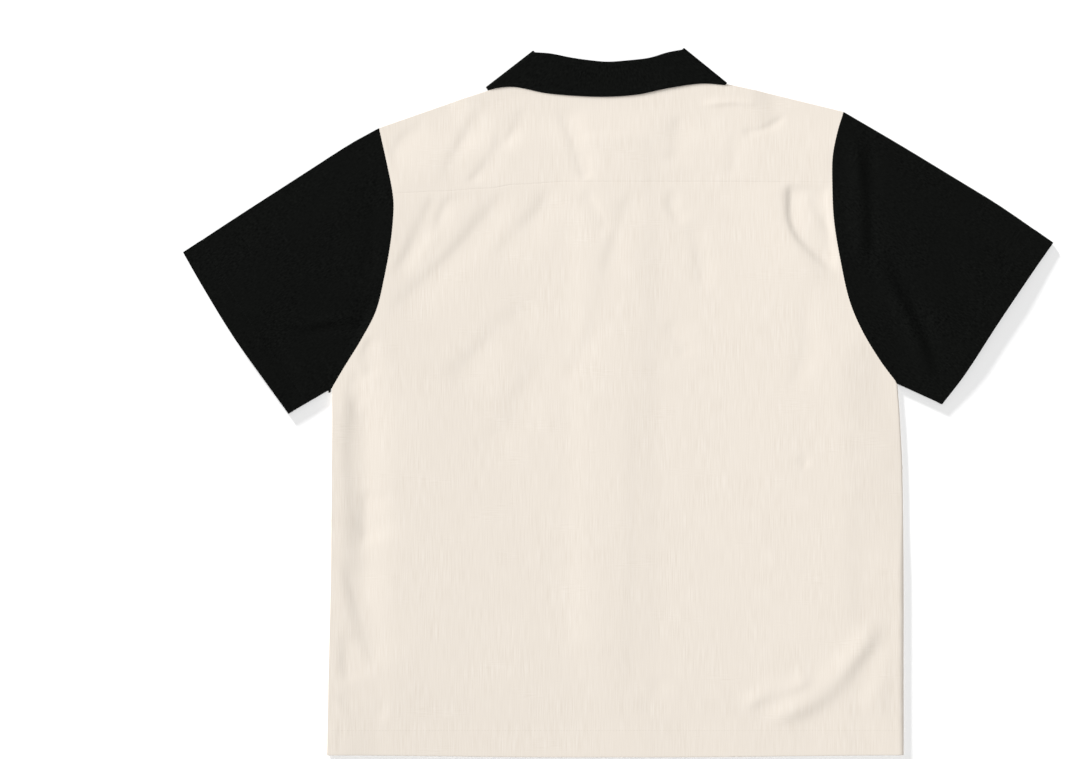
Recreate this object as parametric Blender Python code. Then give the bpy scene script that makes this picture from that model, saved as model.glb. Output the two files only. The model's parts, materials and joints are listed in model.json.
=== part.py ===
# A short-sleeved camp-collar shirt, laid flat on its front with its back up.
# Sizes are in millimetres. In the tables x runs across from the middle of the back, y runs up from the hem,
# and the wearer's left is at -x. place() turns them into metres about the middle of the finished shirt.

import math
from collections import namedtuple

import bmesh
import bpy
from mathutils import Vector

# Cloth and seams
CLOTH = 1.2
COLLAR_CLOTH = 1.4
HEM_PLY = 0.5
HEM_STEP = 1.0
BODY_HEM = 29.0
SLEEVE_HEM = 25.0
FRONT_HEM_RISE = 1.0
SEAM_GAP = 0.3
ARM_GAP = 0.4
NECK_GAP = 0.8
EDGE_RADIUS = 1.6

# How the layers lie on each other
AIR = 2.6
AIR_REACH = 70.0
HEM_AIR, HEM_AIR_REACH = 0.5, 90.0
CUFF_AIR, CUFF_AIR_REACH = 0.6, 60.0
FOLD_REACH = 18.0
SOFTNESS = 0.6
COLLAR_LIFT = 1.7
BUTTON_LIFT = 2.2
LIFT_FALL = 30.0
LIFT_MARGIN = 16.0
LIFT_TOP, LIFT_TOP_FALL = 690.0, 40.0
LAP = 16.0
LAP_MARGIN = 12.0
LAP_FALL = 18.0
LAP_STEP = CLOTH + 2 * SEAM_GAP
PRESSED = 2 * EDGE_RADIUS - 2 * CLOTH - SEAM_GAP

# The collar hides the yoke above these heights, so the cloth lies flat there
AIR_TOP, AIR_TOP_FALL = 698.0, 60.0
FOLD_TOP, FOLD_TOP_FALL = 702.0, 25.0

# Overall size, from cuff to cuff and from the hem to the collar's highest fold
CUFF_LEFT_X = -455.8
CUFF_RIGHT_X = 466.9
OVERALL_LENGTH = 749.4
CENTRE_X = (CUFF_LEFT_X + CUFF_RIGHT_X) / 2
CENTRE_Y = OVERALL_LENGTH / 2

# Buttons
BUTTON_COUNT = 6
BUTTON_LOWEST = 150.0
BUTTON_SPACING = 95.0
BUTTON_RADIUS = 5.7
BUTTON_THICKNESS = 1.8
BUTTON_SIDES = 16
BUTTON_REACH = 9.0
BUTTON_PROFILE = [(0.0, 0.5), (3.4, 0.5), (4.2, 0.0), (5.2, 0.0), (BUTTON_RADIUS, 0.5), (BUTTON_RADIUS, 1.3),
                  (5.0, BUTTON_THICKNESS), (0.0, BUTTON_THICKNESS)]

# Colours, linear
CREAM = (0.862, 0.799, 0.709)
BLACK = (0.0060, 0.0068, 0.0064)
HORN = (0.72, 0.66, 0.56)

Side = namedtuple("Side", "height left right")
SIDES = [
    Side(0.0, -301.0, 307.0),
    Side(80.0, -301.0, 308.0),
    Side(190.0, -298.4, 308.5),
    Side(300.0, -297.4, 306.6),
    Side(355.0, -297.6, 303.8),
]

Armhole = namedtuple("Armhole", "left_x left_y right_x right_y")
ARMHOLE = [
    Armhole(-298.5, 389.0, 301.0, 393.8),
    Armhole(-279.8, 419.2, 282.5, 419.2),
    Armhole(-263.0, 450.0, 263.6, 451.0),
    Armhole(-248.2, 482.8, 250.5, 482.8),
    Armhole(-239.6, 525.2, 241.0, 525.2),
    Armhole(-233.7, 567.6, 233.9, 567.6),
    Armhole(-234.3, 600.0, 231.8, 604.7),
    Armhole(-240.8, 631.2, 232.3, 635.0),
    Armhole(-248.6, 663.8, 244.3, 681.1),
]
YOKE_ROW = 6
ROWS_TO_UNDERARM = 17
ROWS_BELOW_YOKE = 11
ROWS_ABOVE_YOKE = 4
BODY_COLUMNS = 23
BODY_MARGIN = (7.0, 20.0)
FRONT_ROWS_TO_UNDERARM = 6
SHOULDER_STEPS = 6
SLEEVE_RINGS = (0.0, 0.13, 0.27, 0.41, 0.55, 0.69, 0.8)
SLEEVE_HEM_SHARE = 0.004
EDGE_ANGLES = (0, 30, 60, 90)

Cuff = namedtuple("Cuff", "top_x top_y bottom_x bottom_y")
CUFFS = {
    "left": Cuff(CUFF_LEFT_X, 533.7, -343.4, 363.1),
    "right": Cuff(CUFF_RIGHT_X, 543.2, 348.7, 372.1),
}

Shoulder = namedtuple("Shoulder", "x y")
SHOULDERS = {
    "left": [Shoulder(-248.6, 663.8), Shoulder(-160.0, 695.6), Shoulder(-92.0, 717.5)],
    "right": [Shoulder(244.3, 681.1), Shoulder(150.0, 704.2), Shoulder(83.0, 717.0)],
}
YOKE_SEAM = [(-240.0, 600.0), (-134.0, 600.8), (-104.0, 605.0), (-46.0, 608.0), (124.0, 608.0),
             (175.0, 604.8), (240.0, 604.6)]
BACK_NECK = [(-92.0, 717.5), (-70.0, 711.0), (-40.0, 706.6), (-5.0, 705.0), (30.0, 706.6), (60.0, 711.0),
             (83.0, 717.0)]
FRONT_NECK = [(92.0, 717.5), (85.0, 697.0), (66.0, 669.0), (36.0, 648.0), (4.0, 641.0)]
FRONT_NECK_STEPS = 8

# The collar's sections, from the fold at the wearer's left, round the back, to the fold at the right
CollarRow = namedtuple("CollarRow", "seam_x seam_y roll_x roll_y edge_x edge_y")
COLLAR_BACK = [
    CollarRow(-89.5, 719.2, -84.8, 746.8, -134.1, 707.2),
    CollarRow(-74.0, 713.0, -66.0, 743.2, -106.0, 708.6),
    CollarRow(-54.0, 709.3, -46.0, 739.8, -72.0, 701.8),
    CollarRow(-30.0, 706.8, -27.0, 737.0, -38.0, 698.8),
    CollarRow(-5.0, 706.0, -6.0, 735.2, -6.4, 698.0),
    CollarRow(21.0, 706.8, 17.0, 736.8, 26.0, 700.4),
    CollarRow(44.0, 709.4, 38.0, 739.4, 58.0, 707.0),
    CollarRow(64.0, 713.0, 57.0, 744.4, 92.0, 712.3),
    CollarRow(80.8, 718.6, 76.4, 749.4, 122.2, 712.9),
]
# The front half of the collar, from its fold to the middle of the front, the same on both sides
CollarFrontRow = namedtuple("CollarFrontRow", "roll_x roll_y edge_x edge_y")
COLLAR_FRONT = [
    CollarFrontRow(73.0, 719.0, 131.0, 679.0),
    CollarFrontRow(50.0, 693.0, 116.0, 650.0),
    CollarFrontRow(26.0, 669.0, 97.0, 621.0),
    CollarFrontRow(3.0, 656.0, 76.0, 592.0),
]
COLLAR_AXIS = 3.35
STAND_RADIUS = 0.95
FALL_RADIUS = 2.65
FOLD_STEPS = 5
ROLL_STEPS = 4
FALL_STEPS = 3
STAND_STEPS = 2
COLLAR_ROWS_BETWEEN = 2
FOLD_SAMPLES = 12

# The ground that the collar's front half covers, which lifts the fronts over it
COLLAR_GROUND = [(-136, 709), (-132, 676), (-98, 618), (-79, 588), (0, 636), (79, 588), (98, 618), (132, 676),
                 (124, 714), (80, 735), (-90, 735)]

# The main folds of the back and the sleeves, as soft troughs (rise below 0) and ridges, each along a curve
# through three points
Fold = namedtuple("Fold", "name start middle end half_width rise")
FOLDS = [
    Fold("left armhole trough", (-190, 586), (-207, 555), (-227, 519), 10, -1.2),
    Fold("left armhole ridge", (-168, 582), (-190, 549), (-218, 505), 10, 0.9),
    Fold("left long trough", (-111, 596), (-152, 549), (-228, 470), 11, -1.4),
    Fold("trough below the yoke", (-60, 599), (-80, 573), (-120, 515), 11, -0.9),
    Fold("middle trough", (31, 599), (10, 568), (-7, 483), 10, -0.8),
    Fold("right armhole trough", (187, 602), (192, 556), (234, 507), 9, -1.5),
    Fold("right armhole ridge", (202, 594), (206, 562), (230, 527), 9, 1.3),
    Fold("lower right trough", (278, 130), (251, 69), (165, 28), 11, -1.6),
    Fold("lower right inner ridge", (262, 132), (232, 79), (152, 40), 11, 1.2),
    Fold("lower right outer ridge", (294, 107), (277, 62), (243, 32), 11, 0.9),
    Fold("left side trough", (-277, 382), (-273, 281), (-270, 150), 12, -1.3),
    Fold("left side ridge", (-256, 360), (-252, 250), (-250, 110), 14, 0.7),
    Fold("middle drop", (29, 440), (24, 250), (18, 22), 15, -0.6),
    Fold("soft pull on the left", (-88, 456), (-136, 421), (-183, 379), 16, -0.6),
    Fold("yoke left pull", (-135, 676), (-156, 650), (-178, 612), 12, -0.8),
    Fold("yoke middle notch", (-54, 690), (-44, 655), (-32, 604), 10, -0.8),
    Fold("yoke right pull", (140, 663), (161, 672), (190, 684), 10, -0.6),
    Fold("left sleeve arc", (-400, 491), (-340, 451), (-277, 460), 12, -1.2),
    Fold("left sleeve low pull", (-372, 445), (-350, 417), (-332, 379), 12, -0.8),
    Fold("right sleeve upper trough", (258, 652), (268, 566), (299, 505), 12, -1.2),
    Fold("right sleeve lower trough", (299, 505), (323, 456), (342, 394), 12, -1.1),
]


def place(point, height):
    """A point of the tables, in metres about the middle of the finished shirt."""
    return Vector(((point[0] - CENTRE_X) / 1000, (point[1] - CENTRE_Y) / 1000, height / 1000))


def mix(start, end, share):
    """The value at a share of the way from start to end."""
    return start + (end - start) * share


def ease(share):
    """A soft step from 0 to 1."""
    share = min(max(share, 0.0), 1.0)
    return share * share * (3 - 2 * share)


def lengths(points):
    """The length of a path up to each of its points."""
    total = [0.0]
    for before, after in zip(points, points[1:]):
        total.append(total[-1] + (after - before).length)
    return total


def bend(start, end, start_slope, end_slope, s):
    """The point at s on the cubic that leaves start and meets end along the two slopes."""
    return ((2 * s**3 - 3 * s**2 + 1) * start + (s**3 - 2 * s**2 + s) * start_slope
            + (3 * s**2 - 2 * s**3) * end + (s**3 - s**2) * end_slope)


def along(points, share):
    """The point at a share of the length of a smooth curve through the points."""
    total = lengths(points)
    reach = min(max(share, 0.0), 1.0) * total[-1]
    i = max(k for k in range(len(points) - 1) if total[k] <= reach)
    span = total[i + 1] - total[i]

    def slope(k):
        low, high = max(k - 1, 0), min(k + 1, len(points) - 1)
        return (points[high] - points[low]) / (total[high] - total[low]) * span

    return bend(points[i], points[i + 1], slope(i), slope(i + 1), (reach - total[i]) / span)


def on_path(points, reach):
    """The point at a length along the straight runs between points."""
    total = lengths(points)
    i = max(k for k in range(len(points) - 1) if total[k] <= reach + 1e-6)
    return mix(points[i], points[i + 1], (reach - total[i]) / (total[i + 1] - total[i]))


def height_on(path, x, curve=ease):
    """The height at x of a path that runs from left to right, with soft or straight runs."""
    for (x0, y0), (x1, y1) in zip(path, path[1:]):
        if x <= x1 or (x1, y1) == tuple(path[-1]):
            return mix(y0, y1, curve((x - x0) / (x1 - x0)))


def armhole_line(side):
    """The armhole's corners from the underarm to the shoulder, one for each row of the panels."""
    points = [Vector((getattr(row, side + "_x"), getattr(row, side + "_y"))) for row in ARMHOLE]
    total = lengths(points)
    seam = total[YOKE_ROW] / total[-1]
    below = [along(points, seam * i / ROWS_BELOW_YOKE) for i in range(ROWS_BELOW_YOKE)]
    above = [along(points, mix(seam, 1.0, i / ROWS_ABOVE_YOKE)) for i in range(ROWS_ABOVE_YOKE + 1)]
    return below + above


def side_line(side):
    """The side seam's points from the hem to the underarm."""
    corner = armhole_line(side)[0]
    return [Vector((getattr(row, side), row.height)) for row in SIDES] + [corner]


def cuff_ends(side):
    """The top and bottom corners of a cuff."""
    cuff = CUFFS[side]
    return Vector((cuff.top_x, cuff.top_y)), Vector((cuff.bottom_x, cuff.bottom_y))


def silhouette():
    """The straight runs of the rolled edges, clockwise, so that outwards is on the left of each run.

    The runs go on past the hem and the cuffs, which are open edges and don't roll.
    """
    paths = []
    for side in ("left", "right"):
        top, bottom = cuff_ends(side)
        arm = armhole_line(side)
        up = [Vector((getattr(SIDES[0], side), -BODY_HEM))] + side_line(side)
        under = [arm[0], mix(arm[0], bottom, 1.5)]
        over = [mix(arm[-1], top, 1.3), arm[-1]]
        shoulder = [Vector(row) for row in SHOULDERS[side]]
        found = [up, under, over, shoulder]
        paths += found if side == "left" else [path[::-1] for path in found]
    return [run for path in paths for run in zip(path, path[1:])]


RUNS = silhouette()


def to_run(point, start, end):
    """The way from a point to the nearest spot on a straight run."""
    run = end - start
    share = min(max((point - start).dot(run) / run.dot(run), 0.0), 1.0)
    return start + run * share - point


def rolled_edge(point):
    """The distance from a point to the nearest rolled edge, and the way out to it."""
    nearest = None
    for start, end in RUNS:
        way = to_run(point, start, end)
        if nearest is None or way.length < nearest[0]:
            across = Vector((start.y - end.y, end.x - start.x))
            outward = way.normalized() if way.length > 0.01 else across.normalized()
            nearest = (way.length, outward)
    return nearest


def inside(point, corners):
    """Whether a point lies in a polygon."""
    found = False
    for (x0, y0), (x1, y1) in zip(corners, corners[1:] + corners[:1]):
        if (y0 > point.y) != (y1 > point.y) and point.x < mix(x0, x1, (point.y - y0) / (y1 - y0)):
            found = not found
    return found


def clear_of(point, corners):
    """The distance from a point to a polygon, 0 inside it."""
    if inside(point, corners):
        return 0.0
    runs = zip(corners, corners[1:] + corners[:1])
    return min(to_run(point, Vector(start), Vector(end)).length for start, end in runs)


def lift(point):
    """How far the collar's front half and the buttons under the cloth hold it off the ground."""
    over_collar = COLLAR_LIFT * (1 - ease((clear_of(point, COLLAR_GROUND) - LIFT_MARGIN) / LIFT_FALL))
    over_buttons = BUTTON_LIFT * (1 - ease((abs(point.x) - BUTTON_REACH) / LIFT_FALL))
    over_buttons *= ease((point.y - BUTTON_LOWEST + LIFT_FALL + LIFT_MARGIN) / LIFT_FALL)
    return max(over_collar, over_buttons * ease((LIFT_TOP - point.y) / LIFT_TOP_FALL))


def lap(point):
    """1 where the two fronts lie over each other, 0 away from there."""
    across = 1 - ease((abs(point.x) - LAP - LAP_MARGIN) / LAP_FALL)
    return across * ease((LIFT_TOP - point.y) / LIFT_TOP_FALL)


def cuff_distance(point):
    """The distance from a point to its own side's cuff."""
    return to_run(point, *cuff_ends("left" if point.x < 0 else "right")).length


def hem_ply(point):
    """The extra thickness of the turned hems."""
    body = ease((BODY_HEM + HEM_STEP / 2 - point.y) / HEM_STEP)
    cuff = ease((SLEEVE_HEM + HEM_STEP / 2 - cuff_distance(point)) / HEM_STEP)
    return HEM_PLY * max(body, cuff)


def relief(point):
    """The folds' height at a point."""
    total = 0.0
    for fold in FOLDS:
        start, middle, end = (Vector(spot) for spot in (fold.start, fold.middle, fold.end))
        if (point - middle).length > (end - start).length + 3 * fold.half_width:
            continue
        bow = 2 * middle - (start + end) / 2
        shares = [step / FOLD_SAMPLES for step in range(FOLD_SAMPLES + 1)]
        curve = [(1 - s) ** 2 * start + 2 * s * (1 - s) * bow + s**2 * end for s in shares]
        gap, share = min(((point - spot).length, s) for spot, s in zip(curve, shares))
        fade = ease(share * 4) * ease((1 - share) * 4)
        total += fold.rise * fade * math.exp(-((gap / fold.half_width) ** 2))
    return total


def edge_round(point):
    """The distance to the nearest rolled edge, the rise of its round there, and the wall's way out."""
    gap, outward = rolled_edge(point)
    left = EDGE_RADIUS - min(gap, EDGE_RADIUS)
    rise = math.sqrt(EDGE_RADIUS**2 - left**2)
    return gap, rise, Vector((outward.x * left, outward.y * left, rise)).normalized()


def upper_skin(point, seam=SEAM_GAP / 2):
    """The height of the upper layer's outer face, and the way out of its wall."""
    gap, rise, way = edge_round(point)
    air = AIR * ease(gap / AIR_REACH) * ease((AIR_TOP - point.y) / AIR_TOP_FALL)
    air *= mix(HEM_AIR, 1.0, ease(point.y / HEM_AIR_REACH))
    air *= mix(CUFF_AIR, 1.0, ease(cuff_distance(point) / CUFF_AIR_REACH))
    folds = relief(point) * ease((gap - EDGE_RADIUS) / FOLD_REACH)
    folds *= ease((FOLD_TOP - point.y) / FOLD_TOP_FALL)
    under = lift(point) + LAP_STEP * lap(point)
    pressed = under - PRESSED * ease(gap / FOLD_REACH)
    held = (pressed + air + math.hypot(pressed - air, SOFTNESS * ease(gap / FOLD_REACH))) / 2
    height = EDGE_RADIUS + max(rise, seam) + held + folds
    if gap > EDGE_RADIUS:
        height = max(height, under + 2 * CLOTH + SEAM_GAP)
    return height + hem_ply(point) * rise / EDGE_RADIUS, way


def lower_skin(point, seam=SEAM_GAP / 2, raised=0.0):
    """The same for the lower layer, whose outer face lies on the ground."""
    gap, rise, way = edge_round(point)
    return lift(point) + raised + EDGE_RADIUS - max(rise, seam), Vector((way.x, way.y, -way.z))


def patch(left, right, bottom, top, across):
    """A grid of points between two side lines, with the ends of its columns on two paths."""
    span = left[-1].y - left[0].y
    rows = []
    for start, end in zip(left, right):
        v = (start.y - left[0].y) / span
        row = []
        for u in across:
            sides = mix(start, end, u)
            ends = mix(bottom(u), top(u), v)
            corners = mix(mix(left[0], right[0], u), mix(left[-1], right[-1], u), v)
            row.append(sides + ends - corners)
        rows.append(row)
    return rows


def edge_steps():
    """Distances from a rolled edge that follow its round."""
    return [EDGE_RADIUS * (1 - math.cos(math.radians(angle))) for angle in EDGE_ANGLES]


def cloth_object(name, outer, ways, walls, material, ring=False):
    """A closed wall of cloth from the points of its outer face, the ways out and its thickness."""
    bm = bmesh.new()
    faces = []
    for row, row_ways, row_walls in zip(outer, ways, walls):
        faces.append([
            (bm.verts.new(point), bm.verts.new(point - way * wall / 1000))
            for point, way, wall in zip(row, row_ways, row_walls)])
    count = len(faces[0])
    for low, high in zip(faces, faces[1:]):
        for k in range(count if ring else count - 1):
            following = (k + 1) % count
            for layer in (0, 1):
                bm.faces.new([low[k][layer], low[following][layer], high[following][layer], high[k][layer]])
    for end in (faces[0], faces[-1]):
        for k in range(count if ring else count - 1):
            following = (k + 1) % count
            bm.faces.new([end[k][0], end[following][0], end[following][1], end[k][1]])
    if not ring:
        for k in (0, count - 1):
            for low, high in zip(faces, faces[1:]):
                bm.faces.new([low[k][0], high[k][0], high[k][1], low[k][1]])
    bmesh.ops.recalc_face_normals(bm, faces=bm.faces)
    return finish(bm, name, material)


def finish(bm, name, material):
    """Put a mesh into the scene as a smooth-shaded object."""
    mesh = bpy.data.meshes.new(name)
    bm.to_mesh(mesh)
    bm.free()
    mesh.materials.append(material)
    mesh.shade_smooth()
    mesh.set_sharp_from_angle(angle=math.radians(40))
    shape = bpy.data.objects.new(name, mesh)
    bpy.context.scene.collection.objects.link(shape)
    return shape


def panel(name, grid, skin, material, thick_hem=True):
    """A panel of cloth over a grid of places, on the upper or the lower layer."""
    outer, ways, walls = [], [], []
    for row in grid:
        skins = [skin(point) for point in row]
        outer.append([place(point, height) for point, (height, way) in zip(row, skins)])
        ways.append([way for height, way in skins])
        walls.append([CLOTH + (hem_ply(point) if thick_hem else 0.0) for point in row])
    return cloth_object(name, outer, ways, walls, material)


def side_rows(side, steps, hem_rows):
    """Points up the side seam, the turned hem first."""
    points = side_line(side)
    total = lengths(points)[-1]
    hem = [along(points, height / total) for height in hem_rows]
    rest = [along(points, mix(hem_rows[-1] / total, 1.0, i / steps)) for i in range(1, steps)]
    return hem + rest


def body_columns():
    """Shares of the body's width, close together at the rolled edges."""
    width = SIDES[0].right - SIDES[0].left
    near = [step / width for step in edge_steps() + [BODY_MARGIN[0]]]
    first, last = BODY_MARGIN[1] / width, 1 - BODY_MARGIN[1] / width
    middle = [mix(first, last, i / BODY_COLUMNS) for i in range(BODY_COLUMNS + 1)]
    return near + middle + [1 - share for share in reversed(near)]


def back_panel(material):
    """The back below the yoke."""
    lines = {}
    for side in ("left", "right"):
        lines[side] = side_rows(side, ROWS_TO_UNDERARM, (0.0, BODY_HEM - HEM_STEP, BODY_HEM + HEM_STEP))
        lines[side] += armhole_line(side)[:ROWS_BELOW_YOKE + 1]
    left, right = lines["left"], lines["right"]

    def hem(u):
        return mix(left[0], right[0], u)

    def seam(u):
        x = mix(left[-1].x, right[-1].x, u)
        return Vector((x, height_on(YOKE_SEAM, x) - SEAM_GAP))

    left[-1] = seam(0.0)
    right[-1] = seam(1.0)
    grid = patch(left, right, hem, seam, body_columns())
    return panel("back_panel", grid, upper_skin, material)


def back_yoke(material):
    """The yoke, whose top edge rolls over at the shoulders."""
    lines = {}
    for side in ("left", "right"):
        arm = armhole_line(side)[ROWS_BELOW_YOKE:]
        last = (arm[-1] - arm[-2]).length
        near = [mix(arm[-1], arm[-2], step / last) for step in reversed(edge_steps()[1:])]
        lines[side] = arm[:-1] + near + [arm[-1]]
    left, right = lines["left"], lines["right"]
    top_path = [tuple(row) for row in SHOULDERS["left"]] + BACK_NECK[1:-1]
    top_path += [tuple(row) for row in reversed(SHOULDERS["right"])]

    def seam(u):
        x = mix(left[0].x, right[0].x, u)
        return Vector((x, height_on(YOKE_SEAM, x)))

    def top(u):
        x = mix(left[-1].x, right[-1].x, u)
        return Vector((x, height_on(top_path, x, curve=float)))

    left[0] = seam(0.0)
    right[0] = seam(1.0)
    grid = patch(left, right, seam, top, body_columns())
    return panel("back_yoke", grid, upper_skin, material)


def front_neck(sign, share, gap):
    """The front's neckline from the shoulder to the middle, moved out from the neck by a gap."""
    points = [Vector((sign * x, y)) for x, y in FRONT_NECK]
    run = along(points, share + 0.02) - along(points, share - 0.02)
    return along(points, share) + Vector((run.y, -run.x)).normalized() * gap * -sign


def front(side, material):
    """One front, from its side seam to its free edge past the middle."""
    sign = -1 if side == "left" else 1
    outer_line = side_rows(side, FRONT_ROWS_TO_UNDERARM, (FRONT_HEM_RISE,)) + armhole_line(side)
    top_y = FRONT_NECK[-1][1] - NECK_GAP
    free_x = -sign * LAP
    base, span = outer_line[0].y, outer_line[-1].y - outer_line[0].y
    inner_line = [Vector((free_x, mix(base, top_y, (point.y - base) / span))) for point in outer_line]
    shoulder = [Vector(row) for row in SHOULDERS[side][:-1]] + [front_neck(sign, 0.0, 0.0)]
    top_line = [along(shoulder, i / SHOULDER_STEPS) for i in range(SHOULDER_STEPS)]
    top_line += [front_neck(sign, i / FRONT_NECK_STEPS, NECK_GAP) for i in range(FRONT_NECK_STEPS + 1)]
    top_line += [Vector((free_x / 8, top_y)), Vector((free_x, top_y))]
    widths = lengths(top_line)
    across = [width / widths[-1] for width in edge_steps() + widths[1:]]

    def top(u):
        return on_path(top_line, u * widths[-1])

    def hem(u):
        return mix(outer_line[0], inner_line[0], u)

    def skin(point):
        lapped = LAP_STEP * (1 - ease((point.x - LAP - LAP_MARGIN) / LAP_FALL)) if side == "right" else 0.0
        return lower_skin(point, raised=lapped)

    grid = patch(outer_line, inner_line, hem, top, across)
    return panel("front_" + side, grid, skin, material, thick_hem=False)


def sleeve(side, material):
    """A short set-in sleeve, as a flattened tube of rings from the armhole to the cuff."""
    top, bottom = cuff_ends(side)
    arm = armhole_line(side)[::-1]
    away = Vector((-ARM_GAP if side == "left" else ARM_GAP, 0.0))
    total = lengths(arm)
    near = edge_steps()[1:]
    stops = sorted([0.0, total[-1]] + total[1:-1] + near + [total[-1] - step for step in near])
    hem_start = 1 - SLEEVE_HEM / (top - arm[0]).length
    outer, ways, walls = [], [], []
    for t in SLEEVE_RINGS + (hem_start - SLEEVE_HEM_SHARE, hem_start + SLEEVE_HEM_SHARE, 1.0):
        places = [mix(on_path(arm, stop) + away, mix(top, bottom, stop / total[-1]), t) for stop in stops]
        ring = [(point, *upper_skin(point, 0.0), CLOTH + hem_ply(point)) for point in places[1:-1]]
        ring_under = [(point, *lower_skin(point, 0.0), CLOTH) for point in places[-2:0:-1]]
        ends = []
        for point, far in ((places[0], places[-1]), (places[-1], places[0])):
            out = (point - far).normalized()
            ends.append((point, lift(point) + EDGE_RADIUS, Vector((out.x, out.y, 0.0)), CLOTH))
        ring = [ends[0]] + ring + [ends[1]] + ring_under
        outer.append([place(point, height) for point, height, way, wall in ring])
        ways.append([way for point, height, way, wall in ring])
        walls.append([wall for point, height, way, wall in ring])
    return cloth_object("sleeve_" + side, outer, ways, walls, material, ring=True)


def collar_section(row, outward, turn):
    """One section of the folded collar: up the stand, over the roll and down the fall."""
    seam, roll, edge = Vector(row[0:2]), Vector(row[2:4]), Vector(row[4:6])
    roll_radius = (FALL_RADIUS - STAND_RADIUS) / 2
    stand_way = (roll - seam).normalized()
    fall_way = (roll - edge).normalized()
    tip_way = (stand_way + fall_way).normalized()
    base = roll - tip_way * (roll_radius + COLLAR_CLOTH / 2)
    points, ways = [], []

    def add(spot, radius, lean):
        radial = Vector((outward.x * math.sin(turn), outward.y * math.sin(turn), math.cos(turn)))
        ahead = Vector((tip_way.x, tip_way.y, 0.0))
        spot = spot + outward * radius * math.sin(turn)
        points.append(place(spot, COLLAR_AXIS + radius * math.cos(turn)))
        ways.append((ahead * math.sin(lean) - radial * math.cos(lean)).normalized())

    for i in range(STAND_STEPS):
        add(mix(seam, base, i / STAND_STEPS), STAND_RADIUS, 0.0)
    for i in range(ROLL_STEPS + 1):
        lean = math.pi * i / ROLL_STEPS
        middle = (STAND_RADIUS + FALL_RADIUS) / 2
        add(base + tip_way * roll_radius * math.sin(lean), middle - roll_radius * math.cos(lean), lean)
    for i in range(1, FALL_STEPS + 1):
        add(mix(base, edge, i / FALL_STEPS), FALL_RADIUS, math.pi)
    return points, ways


def row_at(rows, share):
    """A row between the collar's sections, on smooth curves through them."""
    seam, roll, edge = ([Vector(row[k:k + 2]) for row in rows] for k in (0, 2, 4))
    step = share * (len(rows) - 1)
    i = min(int(step), len(rows) - 2)

    def between(points):
        before = points[max(i - 1, 0)]
        after = points[min(i + 2, len(points) - 1)]
        s = step - i
        start_slope = (points[i + 1] - before) / (2 if i > 0 else 1)
        end_slope = (after - points[i]) / (2 if i + 2 < len(points) else 1)
        return bend(points[i], points[i + 1], start_slope, end_slope, s)

    return [value for points in (seam, roll, edge) for value in between(points)]


def fold_axis(row, sign):
    """The axis of the collar's side fold, inside its outline, and the way out across it."""
    run = Vector(row[2:4]) - Vector(row[4:6])
    outward = Vector((sign * abs(run.y), abs(run.x))).normalized()
    x, y = outward * (FALL_RADIUS + COLLAR_CLOTH / 2)
    return CollarRow(row.seam_x - x / 2, row.seam_y, row.roll_x - x, row.roll_y - y,
                     row.edge_x - x, row.edge_y - y), outward


def collar_side(fold, outward, sign):
    """The collar's sections from the middle of the front up to the fold and over it."""
    rows = [fold] + [CollarRow(0.0, 0.0, sign * row.roll_x, row.roll_y, sign * row.edge_x, row.edge_y)
                     for row in COLLAR_FRONT]
    sections = []
    for i in range(FRONT_NECK_STEPS, 0, -1):
        row = row_at(rows, i / FRONT_NECK_STEPS)
        row[0:2] = front_neck(sign, i / FRONT_NECK_STEPS, 0.0)
        sections.append(collar_section(row, outward, math.pi))
    turns = [math.pi * (1 - i / FOLD_STEPS) for i in range(FOLD_STEPS)]
    return sections + [collar_section(fold, outward, turn) for turn in turns]


def collar(material):
    """The collar: round the back above the shirt, folded at each side, and along the front below it."""
    left_fold, left_out = fold_axis(COLLAR_BACK[0], -1)
    right_fold, right_out = fold_axis(COLLAR_BACK[-1], 1)
    back = [left_fold] + COLLAR_BACK[1:-1] + [right_fold]
    count = COLLAR_ROWS_BETWEEN * (len(back) - 1)
    run = collar_side(left_fold, left_out, -1)
    run += [collar_section(row_at(back, i / count), left_out, 0.0) for i in range(count + 1)]
    run += collar_side(right_fold, right_out, 1)[::-1]
    half = COLLAR_CLOTH / 2 / 1000
    outer = [[point + way * half for point, way in zip(*section)] for section in run]
    ways = [section[1] for section in run]
    walls = [[COLLAR_CLOTH] * len(section[0]) for section in run]
    return cloth_object("collar", outer, ways, walls, material)


def button(number, material):
    """A turned button with a raised rim, its face on the ground."""
    y = BUTTON_LOWEST + BUTTON_SPACING * (BUTTON_COUNT - number)
    bm = bmesh.new()
    rim = [bm.verts.new(Vector((radius / 1000, 0.0, height / 1000))) for radius, height in BUTTON_PROFILE]
    edges = [bm.edges.new(pair) for pair in zip(rim, rim[1:])]
    bmesh.ops.spin(bm, geom=rim + edges, cent=(0, 0, 0), axis=(0, 0, 1), dvec=(0, 0, 0),
                   angle=math.tau, steps=BUTTON_SIDES, use_merge=True, use_duplicate=False)
    bmesh.ops.remove_doubles(bm, verts=bm.verts, dist=0.00001)
    bmesh.ops.recalc_face_normals(bm, faces=bm.faces)
    shape = finish(bm, "button_" + str(number), material)
    shape.location = place((0.0, y), 0.0)
    return shape


def surface(name, colour, roughness):
    """A Principled material of one colour."""
    material = bpy.data.materials.new(name)
    material.use_nodes = True
    shader = material.node_tree.nodes["Principled BSDF"]
    shader.inputs["Base Color"].default_value = (*colour, 1.0)
    shader.inputs["Roughness"].default_value = roughness
    shader.inputs["Metallic"].default_value = 0.0
    return material


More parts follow.
